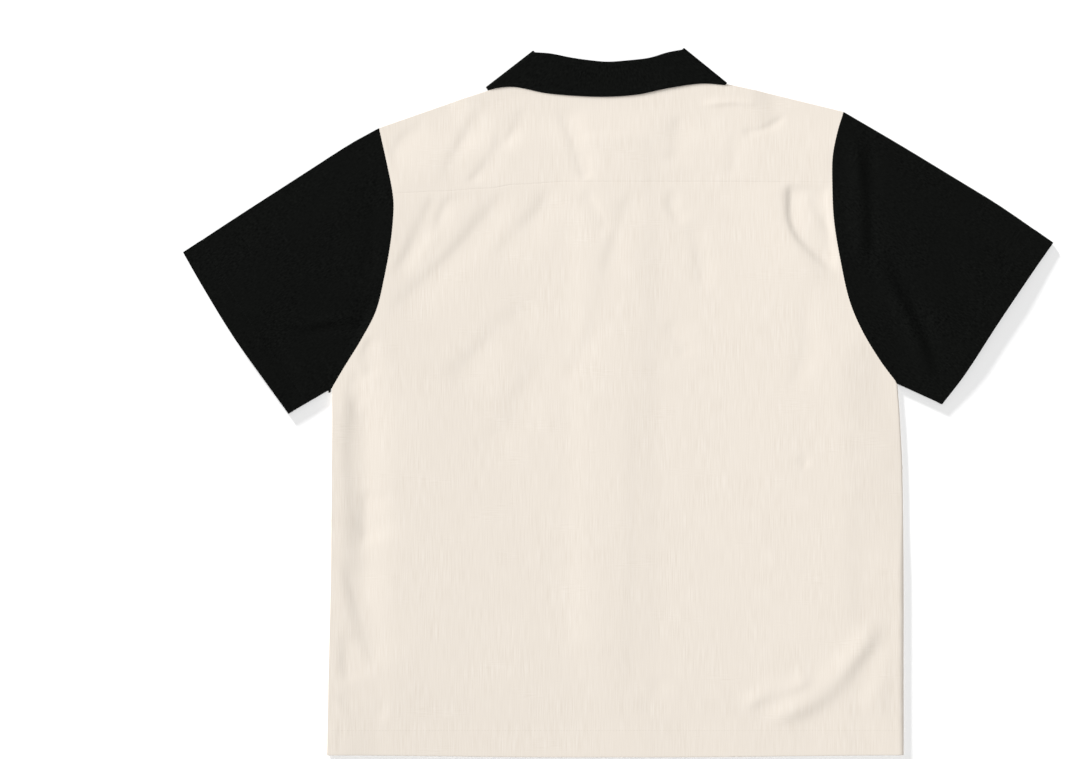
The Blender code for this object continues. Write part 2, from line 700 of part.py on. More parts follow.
def build():
    """The whole shirt."""
    for old in list(bpy.data.objects):
        bpy.data.objects.remove(old)
    cream = surface("cream cloth", CREAM, 0.85)
    black = surface("black cloth", BLACK, 0.8)
    horn = surface("button horn", HORN, 0.35)
    back_panel(cream)
    back_yoke(cream)
    for side in ("left", "right"):
        front(side, cream)
        sleeve(side, black)
    collar(black)
    for number in range(1, BUTTON_COUNT + 1):
        button(number, horn)


build()
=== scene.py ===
import json
import math

import bmesh
import bpy
import numpy as np
from mathutils import Matrix, Vector

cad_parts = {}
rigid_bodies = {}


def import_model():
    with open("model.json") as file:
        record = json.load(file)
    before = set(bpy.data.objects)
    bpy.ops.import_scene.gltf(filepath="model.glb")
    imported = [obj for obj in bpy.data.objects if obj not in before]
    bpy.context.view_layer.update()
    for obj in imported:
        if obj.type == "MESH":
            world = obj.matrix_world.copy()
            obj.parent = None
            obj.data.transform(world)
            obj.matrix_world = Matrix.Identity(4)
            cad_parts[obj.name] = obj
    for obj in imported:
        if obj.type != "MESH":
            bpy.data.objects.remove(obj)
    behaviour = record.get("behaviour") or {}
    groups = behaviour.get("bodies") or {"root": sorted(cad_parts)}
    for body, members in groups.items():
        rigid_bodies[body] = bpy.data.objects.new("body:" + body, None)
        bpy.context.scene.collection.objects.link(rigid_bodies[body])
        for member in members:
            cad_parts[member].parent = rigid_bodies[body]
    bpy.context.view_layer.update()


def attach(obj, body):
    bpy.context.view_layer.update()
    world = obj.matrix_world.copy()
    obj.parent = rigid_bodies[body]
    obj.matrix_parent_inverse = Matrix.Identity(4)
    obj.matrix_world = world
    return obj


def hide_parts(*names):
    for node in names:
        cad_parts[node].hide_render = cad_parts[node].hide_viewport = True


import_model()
print("shirt: frame loaded")

# Tables are in mm: x runs across from the middle of the back, y runs up from the hem, the wearer's left is at -x
outline = {
    "centre": (5.55, 374.7),
    "sideHeights": (0, 80, 190, 300, 355),
    "hemSag": 1.7,
    "left": {
        "side": (-303.9, -302.5, -300, -299.1, -298.5),
        "armhole": ((-298.8, 389), (-285.4, 411.5), (-267.4, 440.5), (-251.7, 470.8), (-243.3, 504),
                    (-235.9, 545), (-232.9, 579), (-233.9, 595.8), (-238.9, 622), (-248.6, 665.2)),
        "yokePoint": 7,  # the armhole point that the yoke seam runs to
        "cuff": ((-344.4, 362.4), (-366.7, 393.2), (-403.9, 445.5), (-437.6, 500.3), (-456.5, 533.2)),
        "over": ((-248.6, 665.2), (-280.5, 647.4), (-329.3, 616.1), (-401.8, 569.3), (-456.5, 533.2)),
        "shoulder": ((-248.6, 665.2), (-160, 696.1), (-92, 717.5)),
    },
    "right": {
        "side": (307.8, 307.7, 307.7, 306.5, 304),
        "armhole": ((301.2, 393.8), (282, 419.4), (262.8, 451.2), (249.7, 482.8), (240.2, 525.2),
                    (233.4, 567.6), (231.6, 607.4), (232.2, 635), (237.4, 661), (244, 682.4)),
        "yokePoint": 6,
        "cuff": ((348.3, 372.4), (372, 403.3), (407.8, 458.1), (444.1, 511.6), (466.6, 543.4)),
        "over": ((244, 682.4), (304.3, 647.1), (357.7, 614.7), (409.7, 582.7), (466.6, 543.4)),
        "shoulder": ((244, 682.4), (150, 705.3), (83, 717.8)),
    },
    "yokeSeam": ((-240, 595.6), (-186, 597.8), (-134, 600.8), (-104, 605), (-46, 608), (124, 608), (175, 607.6),
                 (240, 607.2)),
    "backNeck": ((-70, 711), (-40, 706.6), (-5, 705), (30, 706.6), (60, 711)),
    "frontNeck": ((92, 717.5), (85, 697), (66, 669), (36, 648), (4, 641)),
}

# How the cloth lies, in mm, in the same layers as the solids
lay = {
    "cloth": 0.6, "radius": 1.6, "reach": 18, "soft": 0.6,
    "air": 2.6, "airReach": 70, "hemAir": 0.5, "hemAirReach": 90, "cuffAir": 0.6, "cuffAirReach": 60,
    "airTop": 698, "airTopFall": 60, "creaseTop": 702, "creaseTopFall": 25,
    "collarLift": 1.7, "buttonLift": 2.2, "liftFall": 30, "liftMargin": 16, "liftTop": 690, "liftTopFall": 40,
    "buttonReach": 9, "lap": 16, "lapMargin": 12, "lapFall": 18, "lapStep": 1.8, "pressed": 0.5, "twoLayers": 2.1,
    "fourLayers": 2.7,
    "bodyHem": 29, "cuffHem": 25, "hemPly": 0.06, "hemStep": 4, "seamPin": 12, "armPin": 10, "stitchRoom": 0.12,
    # The upper layer bridges softly from what lies under it, over this many times the lower layer's falls
    "bridge": 3.4, "bridgeReach": 60,
    # The upper layer's folded edge is tight, but low down the back rolls off its right side, which stands higher
    "tightFold": -1.3, "sideRoll": 2.6, "sideRollTop": 262, "sideRollFall": 70, "sideRollLow": 62,
    "sideLift": 0.8, "sideLiftReach": 45, "sideStand": 1.1, "sideStandFall": 3.2,
    # The back's left side is puffed up, and falls away to the flat back further from the side lower down
    "puff": 2.0, "puffEdge": 0.4, "puffFlat": 6, "puffTop": 396, "puffFade": 34, "puffFall": 33, "puffLowFall": 54,
}
collarGround = ((-136, 709), (-132, 676), (-98, 618), (-79, 588), (0, 636), (79, 588), (98, 618), (132, 676),
                (124, 714), (80, 735), (-90, 735))

# Creases: points of a curve, half widths on the left and right of its run, height in mm, and how sharp it
# is, where 2 is soft. A low light from the upper left darkens the flank that faces the lower right
creases = {
    "panel": {
        "left armhole trough": ((-186, 600), (-206, 554), (-233, 502), 17, 7, -0.85, 2),
        "left armhole inner trough": ((-154, 602), (-179, 581), (-187, 546), 12, 5, -0.6, 2),
        "left armhole ridge": ((-172, 572), (-194, 543), (-222, 500), 8, 8, 0.25, 2),
        "left long trough": ((-108, 602), (-158, 543), (-240, 462), 20, 8, -0.95, 2),
        "trough below the yoke": ((-58, 604), (-88, 566), (-130, 522), 18, 9, -0.7, 2),
        "notch below the seam": ((-32, 602), (-18, 578), (-2, 553), 5, 9, -0.45, 2),
        "middle trough": ((26, 602), (8, 566), (-9, 500), 16, 8, -0.55, 2),
        "middle low trough": ((-4, 520), (-14, 470), (-46, 388), 22, 11, -0.4, 2),
        "dip right of the middle": ((66, 602), (61, 580), (76, 562), 9, 5, -0.5, 2),
        "drop right of the middle": ((78, 566), (90, 536), (96, 490), 12, 7, -0.45, 2),
        "lower drop right of the middle": ((56, 462), (66, 444), (78, 420), 12, 7, -0.35, 2),
        "tuck below the yoke": ((188, 640), (186.6, 592), (187, 568), (196, 549), (214, 530), (241, 509), 30, 3.9,
                                -1.55, 1.15),
        "lip over the tuck": ((184.5, 640), (183.2, 592), (183.6, 567), (192.8, 547), (211.4, 527.6), (238.6, 506), 3.4,
                              30, 0.9, 1.15),
        "line beside the tuck": ((209, 600), (219, 573), (235, 548), 13, 3.6, -0.4, 2),
        "ridge beside the tuck": ((204, 600), (207, 566), (233, 530), 10, 14, 0.35, 2),
        "left middle pull": ((-80, 482), (-130, 441), (-178, 386), 26, 11, -0.65, 2),
        "left lower pull": ((-66, 432), (-96, 386), (-120, 350), 24, 12, -0.4, 2),
        "left low pull": ((-72, 376), (-109, 352), (-152, 312), 22, 11, -0.35, 2),
        "underarm patch": ((-258, 448), (-262, 420), (-256, 398), 12, 5, -0.6, 2),
        "underarm lower patch": ((-268, 410), (-278, 384), (-272, 360), 12, 6, -0.6, 2),
        "left side trough": ((-264, 406), (-275, 318), (-264, 190), 34, 10, -0.9, 2),
        "left side spot": ((-262, 284), (-264, 250), (-262, 220), 24, 5.5, -0.85, 2),
        "left side foot": ((-284, 214), (-271, 158), (-250, 92), 30, 7.5, -0.95, 2),
        "left side dent": ((-286, 132), (-285.5, 103), (-281, 74), 22, 5, -0.75, 2),
        "bottom left curl": ((-296, 66), (-270, 47), (-238, 39), 12, 5, -0.45, 2),
        "bottom left line": ((-289.5, 34), (-290, 18), (-289.5, 2), 3, 2, -0.35, 2),
        "lower right ridge": ((277, 152), (267, 120), (244, 90), (208, 57), (156, 34), 9.5, 15, 1.4, 2),
        "lower right trough": ((284, 132), (272, 102), (249, 70), (216, 42), (182, 28), 20, 8, -0.4, 2),
        "lower right second ridge": ((214, 84), (196, 75), (168, 66), (134, 51), 7, 12, 0.85, 2),
        "lower right outer pull": ((297, 118), (287, 86), (266, 40), 13, 11, 0.4, 2),
        "lower middle pull": ((50, 88), (44, 64), (34, 40), 14, 9, -0.3, 2),
        "middle drop": ((31, 420), (26, 250), (20, 22), 22, 12, -0.35, 2),
        "right shoulder blade arc": ((198, 486), (206, 435), (186, 380), 12, 9, -0.35, 2),
        "dimple": ((197, 318), (201, 312), (206, 306), 6, 5, -0.4, 2),
    },
    "yoke": {
        "left shoulder pull": ((-197, 676), (-224, 652), (-239, 624), 14, 7, -0.5, 2),
        "left winding pull": ((-118, 668), (-129, 634), (-158, 601), 10, 5, -0.5, 2),
        "left winding pull's top": ((-92, 690), (-104, 664), (-124, 636), 9, 5, -0.45, 2),
        "left pull": ((-134, 690), (-152, 663), (-168, 636), (-181, 606), 12, 7, -0.65, 2),
        "middle notch": ((-58, 692), (-50, 672), (-38, 640), (-30, 600), 16, 7, -0.7, 2),
        "pinch at the seam": ((-36, 640), (-32, 622), (-30, 600), 5, 3.5, -0.9, 2),
        "inner right drop": ((69, 682), (68, 656), (62, 624), 14, 8, -0.45, 2),
        "right drop": ((131, 664), (128, 640), (125, 607), 12, 7, -0.3, 2),
        "right flat dent": ((92, 690), (122, 692), (156, 691), 8, 2.2, 2.0, 2),
        "right pull": ((134, 660), (160, 664.5), (184, 679), 3, 5, -0.6, 2),
    },
    "sleeves": {
        "left arc": ((-400, 472), (-362, 455), (-328, 449), (-299, 453), (-262, 452), 6, 6, -1.4, 2),
        "left arc ridge": ((-400, 480), (-362, 463), (-328, 457), (-299, 461), (-262, 460), 6, 7, 1.9, 2),
        "left patch": ((-254, 490), (-262, 454), (-282, 416), 10, 14, -1.7, 2),
        "left low pull": ((-372, 447), (-350, 417), (-331, 377), 10, 8, -1.0, 2),
        "left top band": ((-420, 524), (-350, 566), (-272, 612), 12, 12, -0.6, 2),
        "left side band": ((-262, 622), (-254, 560), (-266, 486), 9, 9, -0.7, 2),
        "right upper trough": ((270, 664), (273, 590), (275, 514), 9, 9, -1.5, 2),
        "right lower trough": ((286, 544), (302, 508), (328, 455), (352, 390), 9, 9, -1.5, 2),
        "right upper ridge": ((257, 656), (261, 590), (263, 516), 9, 9, 2.0, 2),
        "right lower ridge": ((274, 540), (290, 504), (316, 451), (340, 386), 9, 9, 2.0, 2),
        "right outer pull": ((330, 560), (360, 520), (380, 452), 12, 12, -0.6, 2),
    },
    # The front lies pressed to the ground, so its own creases only lift off it
    "front": {
        "left chest lift": ((-210, 560), (-160, 520), (-120, 440), 9, 9, 0.5, 2),
        "left side lift": ((-262, 340), (-240, 250), (-246, 150), 8, 8, 0.5, 2),
        "left hem lift": ((-190, 26), (-150, 60), (-90, 78), 7, 7, 0.45, 2),
        "right chest lift": ((214, 570), (170, 500), (150, 430), 9, 9, 0.5, 2),
        "right side lift": ((262, 330), (250, 230), (266, 140), 8, 8, 0.5, 2),
        "right hem lift": ((220, 30), (170, 66), (96, 84), 7, 7, 0.45, 2),
        "left sleeve lift": ((-300, 560), (-330, 500), (-352, 440), 7, 7, 0.45, 2),
        "right sleeve lift": ((300, 580), (340, 520), (362, 452), 7, 7, 0.45, 2),
    },
}


def ease(t):
    t = np.clip(t, 0.0, 1.0)
    return t * t * (3 - 2 * t)


def pathLengths(points):
    return np.concatenate([[0.0], np.cumsum(np.linalg.norm(np.diff(points, axis=0), axis=1))])


def along(points, shares):  # a smooth line through the points, at shares of its length
    points = np.array(points, float)
    total = pathLengths(points)
    reach = np.clip(shares, 0.0, 1.0) * total[-1]
    i = np.clip(np.searchsorted(total, reach, side="right") - 1, 0, len(points) - 2)
    k = np.arange(len(points))
    low, high = np.maximum(k - 1, 0), np.minimum(k + 1, len(points) - 1)
    slopes = (points[high] - points[low]) / (total[high] - total[low])[:, None]
    span = (total[i + 1] - total[i])[:, None]
    s = (reach - total[i])[:, None] / span
    return ((2 * s**3 - 3 * s**2 + 1) * points[i] + (s**3 - 2 * s**2 + s) * slopes[i] * span
            + (3 * s**2 - 2 * s**3) * points[i + 1] + (s**3 - s**2) * slopes[i + 1] * span)


def evenly(points, shares):  # the same along straight runs
    points = np.array(points, float)
    total = pathLengths(points)
    reach = np.clip(shares, 0.0, 1.0) * total[-1]
    return np.column_stack([np.interp(reach, total, points[:, 0]), np.interp(reach, total, points[:, 1])])


def heightOn(path, x):  # the height of a line that runs left to right, eased between its points
    path = np.array(path, float)
    i = np.clip(np.searchsorted(path[:, 0], x) - 1, 0, len(path) - 2)
    share = ease((x - path[i, 0]) / (path[i + 1, 0] - path[i, 0]))
    return path[i, 1] + (path[i + 1, 1] - path[i, 1]) * share


def sidePoints(side):
    shape = outline[side]
    return np.array(list(zip(shape["side"], outline["sideHeights"])) + [shape["armhole"][0]], float)


def yokeArmShare(side):
    total = pathLengths(np.array(outline[side]["armhole"], float))
    return total[outline[side]["yokePoint"]] / total[-1]


def cuffLine(side):
    return along(outline[side]["cuff"], np.linspace(0, 1, 11))


def rolledRuns():  # straight runs of the folded and seamed sides, outwards on the left of each
    runs = []
    for side in ("left", "right"):
        shape = outline[side]
        arm, cuff = np.array(shape["armhole"], float), np.array(shape["cuff"], float)
        up = np.vstack([[shape["side"][0], -30.0], along(sidePoints(side), np.linspace(0, 1, 25))])
        under = np.array([arm[0], arm[0] + (cuff[0] - arm[0]) * 1.5])
        over = along(shape["over"], np.linspace(1, 0, 15))
        over = np.vstack([over[0] + (over[0] - over[1]) * 3, over])
        shoulder = np.array(shape["shoulder"], float)
        for line in (up, under, over, shoulder):
            line = line if side == "left" else line[::-1]
            runs += list(zip(line, line[1:]))
    return runs


rolled = rolledRuns()
armLines = [along(outline[side]["armhole"], np.linspace(0, 1, 31)) for side in ("left", "right")]
armRuns = [run for line in armLines for run in zip(line, line[1:])]


def nearestOnRuns(spots, runs):  # distance and way to the closest of some straight runs
    best = np.full(len(spots), 1e9)
    way = np.zeros_like(spots)
    for start, end in runs:
        run = end - start
        share = np.clip(((spots - start) @ run) / (run @ run), 0.0, 1.0)
        gap = start + share[:, None] * run - spots
        length = np.linalg.norm(gap, axis=1)
        out = np.where(length[:, None] > 0.01, gap / np.maximum(length, 1e-6)[:, None],
                       np.array([-run[1], run[0]]) / np.linalg.norm(run))
        closer = length < best
        best[closer], way[closer] = length[closer], out[closer]
    return best, way


def insideOf(spots, corners):
    found = np.zeros(len(spots), bool)
    x, y = spots[:, 0], spots[:, 1]
    for (x0, y0), (x1, y1) in zip(corners, corners[1:] + corners[:1]):
        if y0 != y1:
            found ^= ((y0 > y) != (y1 > y)) & (x < x0 + (x1 - x0) * (y - y0) / (y1 - y0))
    return found


def liftOver(spots, bridge=1.0):  # how far the collar's front half and the buttons hold the cloth up
    corners = np.array(collarGround + collarGround[:1], float)
    away, _ = nearestOnRuns(spots, list(zip(corners, corners[1:])))
    away[insideOf(spots, collarGround)] = 0.0
    x, y = spots[:, 0], spots[:, 1]
    fall = lay["liftFall"] * bridge
    collar = lay["collarLift"] * (1 - ease((away - lay["liftMargin"]) / fall))
    buttons = lay["buttonLift"] * (1 - ease((abs(x) - lay["buttonReach"]) / fall))
    low = buttonCut["lowest"] - lay["liftMargin"] - fall
    buttons = buttons * ease((y - low) / fall) * ease((lay["liftTop"] - y) / lay["liftTopFall"])
    side = lay["sideLift"] * ease((x - outline["right"]["side"][0]) / lay["sideLiftReach"] + 1)
    side = side * ease((lay["sideRollTop"] - y) / lay["sideRollFall"])
    return np.maximum(collar, buttons) + side


def lapOver(spots, bridge=1.0):
    x, y = spots[:, 0], spots[:, 1]
    across = 1 - ease((abs(x) - lay["lap"] - lay["lapMargin"]) / (lay["lapFall"] * bridge))
    return across * ease((lay["liftTop"] - y) / lay["liftTopFall"])


def cuffDistance(spots):
    lines = [cuffLine(side) for side in ("left", "right")]
    return nearestOnRuns(spots, [run for line in lines for run in zip(line, line[1:])])[0]


def inHem(spots, past=0.0):  # 1 where the hem's turned ply lies inside, and a little past its end
    body = ease((lay["bodyHem"] + past + lay["hemStep"] / 2 - spots[:, 1]) / lay["hemStep"])
    cuff = ease((lay["cuffHem"] + past + lay["hemStep"] / 2 - cuffDistance(spots)) / lay["hemStep"])
    return np.maximum(body, cuff)


def lowRight(spots):  # where the back rolls off its right side
    y = spots[:, 1]
    return ease((lay["sideRollTop"] - y) / lay["sideRollFall"]) * (0.55 + 0.45 * ease(y / lay["sideRollLow"]))


def puffedSide(spots, gap):  # how much higher the back stands beside its left side
    x, y = spots[:, 0], spots[:, 1]
    fall = lay["puffLowFall"] + (lay["puffFall"] - lay["puffLowFall"]) * ease((y - 90) / 110)
    across = ease(gap / lay["puffEdge"]) * (1 - ease((gap - lay["puffFlat"]) / fall))
    return np.where(x < 0, lay["puff"] * across * ease((lay["puffTop"] - y) / lay["puffFade"]), 0.0)


def creaseHeight(spots, table):
    total = np.zeros(len(spots))
    shares = np.linspace(0, 1, 25)
    for *points, left, right, rise, power in table.values():
        curve = along(points, shares)
        start, middle = curve[0], curve[len(curve) // 2]
        reach = np.linalg.norm(curve - middle, axis=1).max() + 3 * max(left, right)
        near = np.linalg.norm(spots - middle, axis=1) < reach
        picked = spots[near]
        best = np.full(len(picked), 1e9)
        share = np.zeros(len(picked))
        offset = np.zeros(len(picked))
        for k in range(len(curve) - 1):
            run = curve[k + 1] - curve[k]
            off = picked - curve[k]
            t = np.clip((off @ run) / (run @ run), 0.0, 1.0)
            gap = np.linalg.norm(off - t[:, None] * run, axis=1)
            closer = gap < best
            best[closer] = gap[closer]
            share[closer] = ((k + t) / (len(curve) - 1))[closer]
            offset[closer] = (run[0] * off[:, 1] - run[1] * off[:, 0])[closer]
        uneven = 1 + 0.22 * np.sin(share * 8.5 + start[0])
        width = np.where(offset > 0, left, right) * (1 + 0.15 * np.sin(share * 11 + start[1]))
        fade = ease(share * 4.5) * ease((1 - share) * 4.5)
        total[near] += rise * uneven * fade * np.exp(-((best / width)**power))
    return total


def slackCloth(spots):  # the faint unevenness of cloth that was smoothed out by hand
    x, y = spots[:, 0], spots[:, 1]
    return (0.07 * np.sin(x / 17 + 0.9 * np.sin(y / 41)) * np.sin(y / 37 + x / 90)
            + 0.09 * np.sin((x + y) / 31 + 1.3) * np.sin((x - 0.6 * y) / 47))


def edgeRound(spots, extra=0.0):
    gap, out = nearestOnRuns(spots, rolled)
    radius = lay["radius"]
    left = 1 - np.minimum(gap / (radius + extra), 1.0)
    rise = radius * np.sqrt(np.maximum(1 - left**2, 0.0))
    return gap, rise, np.column_stack([out * left[:, None], rise / radius])


def upperSkin(spots, part):  # the upper layer's outer face: its height, and the way out of the cloth
    x, y = spots[:, 0], spots[:, 1]
    rolls = (x > 250) & (part == "panel")
    roll = np.where(rolls, np.maximum(lay["sideRoll"] * lowRight(spots), lay["tightFold"]), lay["tightFold"])
    gap, rise, way = edgeRound(spots, roll)
    air = lay["air"] * ease(gap / lay["airReach"]) * ease((lay["airTop"] - y) / lay["airTopFall"])
    air = air * (lay["hemAir"] + (1 - lay["hemAir"]) * ease(y / lay["hemAirReach"]))
    air = air * (lay["cuffAir"] + (1 - lay["cuffAir"]) * ease(cuffDistance(spots) / lay["cuffAirReach"]))
    folds = creaseHeight(spots, creases[part]) + slackCloth(spots)
    folds = folds * ease((gap - lay["radius"]) / lay["reach"]) * ease((lay["creaseTop"] - y) / lay["creaseTopFall"])
    if part != "sleeves":  # the yoke's seam holds the cloth down
        folds = folds * ease(abs(y - heightOn(outline["yokeSeam"], x)) / lay["seamPin"])
    folds = folds * ease(nearestOnRuns(spots, armRuns)[0] / lay["armPin"])  # and so do the armholes' seams
    under = liftOver(spots) + lay["lapStep"] * lapOver(spots)
    bridged = liftOver(spots, lay["bridge"]) + lay["lapStep"] * lapOver(spots, lay["bridge"])
    under = under + (bridged - under) * ease(gap / lay["bridgeReach"])
    pressed = under - lay["pressed"] * ease(gap / lay["reach"])
    held = (pressed + air + np.hypot(pressed - air, lay["soft"] * ease(gap / lay["reach"]))) / 2
    height = lay["radius"] + rise + held + folds
    if part == "panel":
        stands = (0.3 + 0.7 * lowRight(spots)) * (1 - np.exp(-gap / lay["sideStandFall"]))
        stands = stands * (1 - ease((gap - 16) / 36)) * ease((380 - y) / 40)
        height = height + np.where(rolls, lay["sideStand"] * stands, 0.0) + puffedSide(spots, gap)
    layers = lay["twoLayers"] + (lay["fourLayers"] - lay["twoLayers"]) * inHem(spots, 4)
    room = under + layers * ease(gap / (lay["radius"] + roll))
    height = np.where(gap > lay["radius"], np.maximum(height, room), height)
    return height + lay["hemPly"] * inHem(spots) * rise / lay["radius"], way


def lowerSkin(spots, raised=0.0):  # the lower layer's outer face, which lies on the ground
    gap, rise, way = edgeRound(spots)
    lifts = creaseHeight(spots, creases["front"]) * ease((gap - lay["radius"]) / lay["reach"])
    room = lay["stitchRoom"] * rise / lay["radius"]
    height = liftOver(spots) + raised + lifts + room + lay["radius"] - rise
    return height, way * np.array([1.0, 1.0, -1.0])


def coons(left, right, bottom, top, across):  # spots on a grid between two side lines and two end lines
    v = ((left[:, 1] - left[0, 1]) / (left[-1, 1] - left[0, 1]))[:, None, None]
    u = across[None, :, None]
    sides = left[:, None] * (1 - u) + right[:, None] * u
    ends = bottom[None] * (1 - v) + top[None] * v
    low = left[0] * (1 - u) + right[0] * u
    high = left[-1] * (1 - u) + right[-1] * u
    return sides + ends - low * (1 - v) - high * v


def toMetres(spots, heights):
    centre = np.array(outline["centre"])
    return np.column_stack([spots - centre, heights]) / 1000


def spaced(start, end, step):  # evenly spaced values, about a step apart
    return np.linspace(start, end, max(2, round(abs(end - start) / step) + 1))


def edgeSteps():  # distances from a rolled side that follow its round
    return lay["radius"] * (1 - np.cos(np.radians([0, 15, 30, 45, 60, 75, 90])))


def clothSheet(name, node, points, grain, material, cut, faceDown=False, tube=False):
    # a grid of cloth laid over the points, given its thickness, its fabric's grain and its place in the frame
    rows, columns = points.shape[:2]
    bm = bmesh.new()
    uvLayer = bm.loops.layers.uv.new("grain")
    bmesh.ops.create_grid(bm, x_segments=columns - 1, y_segments=rows - 1, size=0.5)
    for vert in bm.verts:
        column = round((vert.co.x + 0.5) * (columns - 1))
        row = round((vert.co.y + 0.5) * (rows - 1))
        vert.co = points[row, column]
        vert.index = row * columns + column
    flat = (grain / 1000).reshape(-1, 2)
    for face in bm.faces:
        for loop in face.loops:
            loop[uvLayer].uv = flat[loop.vert.index]
    if tube:
        bmesh.ops.remove_doubles(bm, verts=bm.verts, dist=0.00001)
    if faceDown:
        bmesh.ops.reverse_faces(bm, faces=bm.faces)
    mesh = bpy.data.meshes.new(name)
    bm.to_mesh(mesh)
    bm.free()
    mesh.shade_smooth()
    mesh.materials.append(material)
    piece = bpy.data.objects.new(name, mesh)
    bpy.context.scene.collection.objects.link(piece)
    shell = piece.modifiers.new("thickness", "SOLIDIFY")
    shell.thickness = cut["cloth"] / 1000
    shell.offset = -1.0
    rim = piece.modifiers.new("soft rim", "BEVEL")
    rim.width = cut["cloth"] / 1000 * 0.32
    rim.segments = 2
    rim.limit_method = "ANGLE"
    rim.angle_limit = math.radians(50)
    rim.use_clamp_overlap = True
    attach(piece, "root")
    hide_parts(node)
    return piece


def turned(points, ways, turn, ply, down):  # rolls rows under the cloth: 0 is the outer side, pi the turned ply
    r = ply / 2
    a = np.radians(turn)[:, None, None] if down.ndim == 1 else np.radians(turn)
    return points + ways * r * (np.cos(a) - 1) + down * r * np.sin(a)


# Buttons: they lie on the ground under the front, which is sewn to them
buttonCut = {"count": 6, "lowest": 150, "spacing": 95, "radius": 5.7, "thickness": 1.8}

# Fabrics: cloth with short slub ribs along its length, clearer in some places than in others. Sizes in mm
fabric = {
    "weft": (14, 1.0), "band": (30, 200), "weave": (0.42, 0.5), "patches": (46, 60), "weftPatches": (80, 26),
    "cream": {"light": (0.887, 0.817, 0.734), "shade": (0.805, 0.731, 0.644), "rough": 0.9, "depth": 0.016, "rib": (1.4, 38), "fineRib": (0.8, 20),
              "sheen": 0.03},
    "black": {"light": (0.0080, 0.0087, 0.0079), "shade": (0.0023, 0.0025, 0.0023), "rough": 0.85, "depth": 0.028, "rib": (1.5, 7), "fineRib": (0.9, 3),
              "sheen": 0.02},
}


def node(tree, kind, **sockets):
    made = tree.nodes.new(kind)
    for key, value in sockets.items():
        made.inputs[key].default_value = value
    return made


def mathNode(tree, operation, a, b):
    made = tree.nodes.new("ShaderNodeMath")
    made.operation = operation
    for socket, value in zip(made.inputs, (a, b)):
        if isinstance(value, (int, float)):
            socket.default_value = value
        else:
            tree.links.new(value, socket)
    return made.outputs[0]


def grainNoise(tree, uv, size, detail, gain=1.0):  # noise about 0 with its own size across and along the ribs
    place = tree.nodes.new("ShaderNodeMapping")
    place.inputs["Scale"].default_value = (1000 / size[0], 1000 / size[1], 1.0)
    tree.links.new(uv, place.inputs["Vector"])
    noise = node(tree, "ShaderNodeTexNoise", Scale=1.0, Detail=detail, Roughness=0.55)
    tree.links.new(place.outputs[0], noise.inputs["Vector"])
    return mathNode(tree, "MULTIPLY", mathNode(tree, "SUBTRACT", noise.outputs["Fac"], 0.5), gain)


def patchMask(tree, uv, size, low, high, least):  # where a kind of rib is clear
    place = grainNoise(tree, uv, size, 1.0)
    spread = node(tree, "ShaderNodeMapRange")
    for key, value in (("From Min", low), ("From Max", high), ("To Min", least), ("To Max", 1.0)):
        spread.inputs[key].default_value = value
    tree.links.new(place, spread.inputs["Value"])
    return spread.outputs[0]


def mixColour(tree, factor, low, high, shader):
    colour = tree.nodes.new("ShaderNodeMix")
    colour.data_type = "RGBA"
    colour.inputs[6].default_value = (*low, 1.0)
    colour.inputs[7].default_value = (*high, 1.0)
    tree.links.new(factor, colour.inputs[0])
    tree.links.new(colour.outputs[2], shader.inputs["Base Color"])


def ribbedFabric(name, look):
    made = bpy.data.materials.new(name)
    made.use_nodes = True
    tree = made.node_tree
    shader = tree.nodes["Principled BSDF"]
    grainMap = tree.nodes.new("ShaderNodeUVMap")
    grainMap.uv_map = "grain"
    uv = grainMap.outputs["UV"]
    ribs = mathNode(tree, "ADD", grainNoise(tree, uv, look["rib"], 0.0, 0.5),
                    grainNoise(tree, uv, look["fineRib"], 0.0, 0.9))
    ribs = mathNode(tree, "MULTIPLY", ribs, patchMask(tree, uv, fabric["patches"], -0.12, 0.12, 0.45))
    weft = mathNode(tree, "MULTIPLY", grainNoise(tree, uv, fabric["weft"], 0.0, 0.6),
                    patchMask(tree, uv, fabric["weftPatches"], 0.08, 0.2, 0.0))
    relief = mathNode(tree, "ADD", ribs, weft)
    tone = mathNode(tree, "ADD", relief, grainNoise(tree, uv, fabric["band"], 2.0, 0.12))
    mixColour(tree, mathNode(tree, "ADD", mathNode(tree, "MULTIPLY", tone, 1.6), 0.5), look["shade"],
              look["light"], shader)
    height = mathNode(tree, "ADD", relief, grainNoise(tree, uv, fabric["weave"], 0.0, 0.5))
    bump = node(tree, "ShaderNodeBump", Strength=1.0, Distance=look["depth"] / 1000)
    tree.links.new(height, bump.inputs["Height"])
    tree.links.new(bump.outputs[0], shader.inputs["Normal"])
    rough = mathNode(tree, "ADD", mathNode(tree, "MULTIPLY", tone, -0.15), look["rough"])
    tree.links.new(rough, shader.inputs["Roughness"])
    shader.inputs["Specular IOR Level"].default_value = look["sheen"]
    return made


def streakedFinish(name, light, shade, rough, gloss=0.1):  # thread and horn: soft streaks at a thread's scale
    made = bpy.data.materials.new(name)
    made.use_nodes = True
    tree = made.node_tree
    shader = tree.nodes["Principled BSDF"]
    place = tree.nodes.new("ShaderNodeTexCoord")
    noise = node(tree, "ShaderNodeTexNoise", Scale=900.0, Detail=2.0)
    tree.links.new(place.outputs["Object"], noise.inputs["Vector"])
    mixColour(tree, noise.outputs["Fac"], shade, light, shader)
    bump = node(tree, "ShaderNodeBump", Strength=0.5, Distance=0.0001)
    tree.links.new(noise.outputs["Fac"], bump.inputs["Height"])
    tree.links.new(bump.outputs[0], shader.inputs["Normal"])
    shader.inputs["Roughness"].default_value = rough
    shader.inputs["Specular IOR Level"].default_value = gloss
    return made


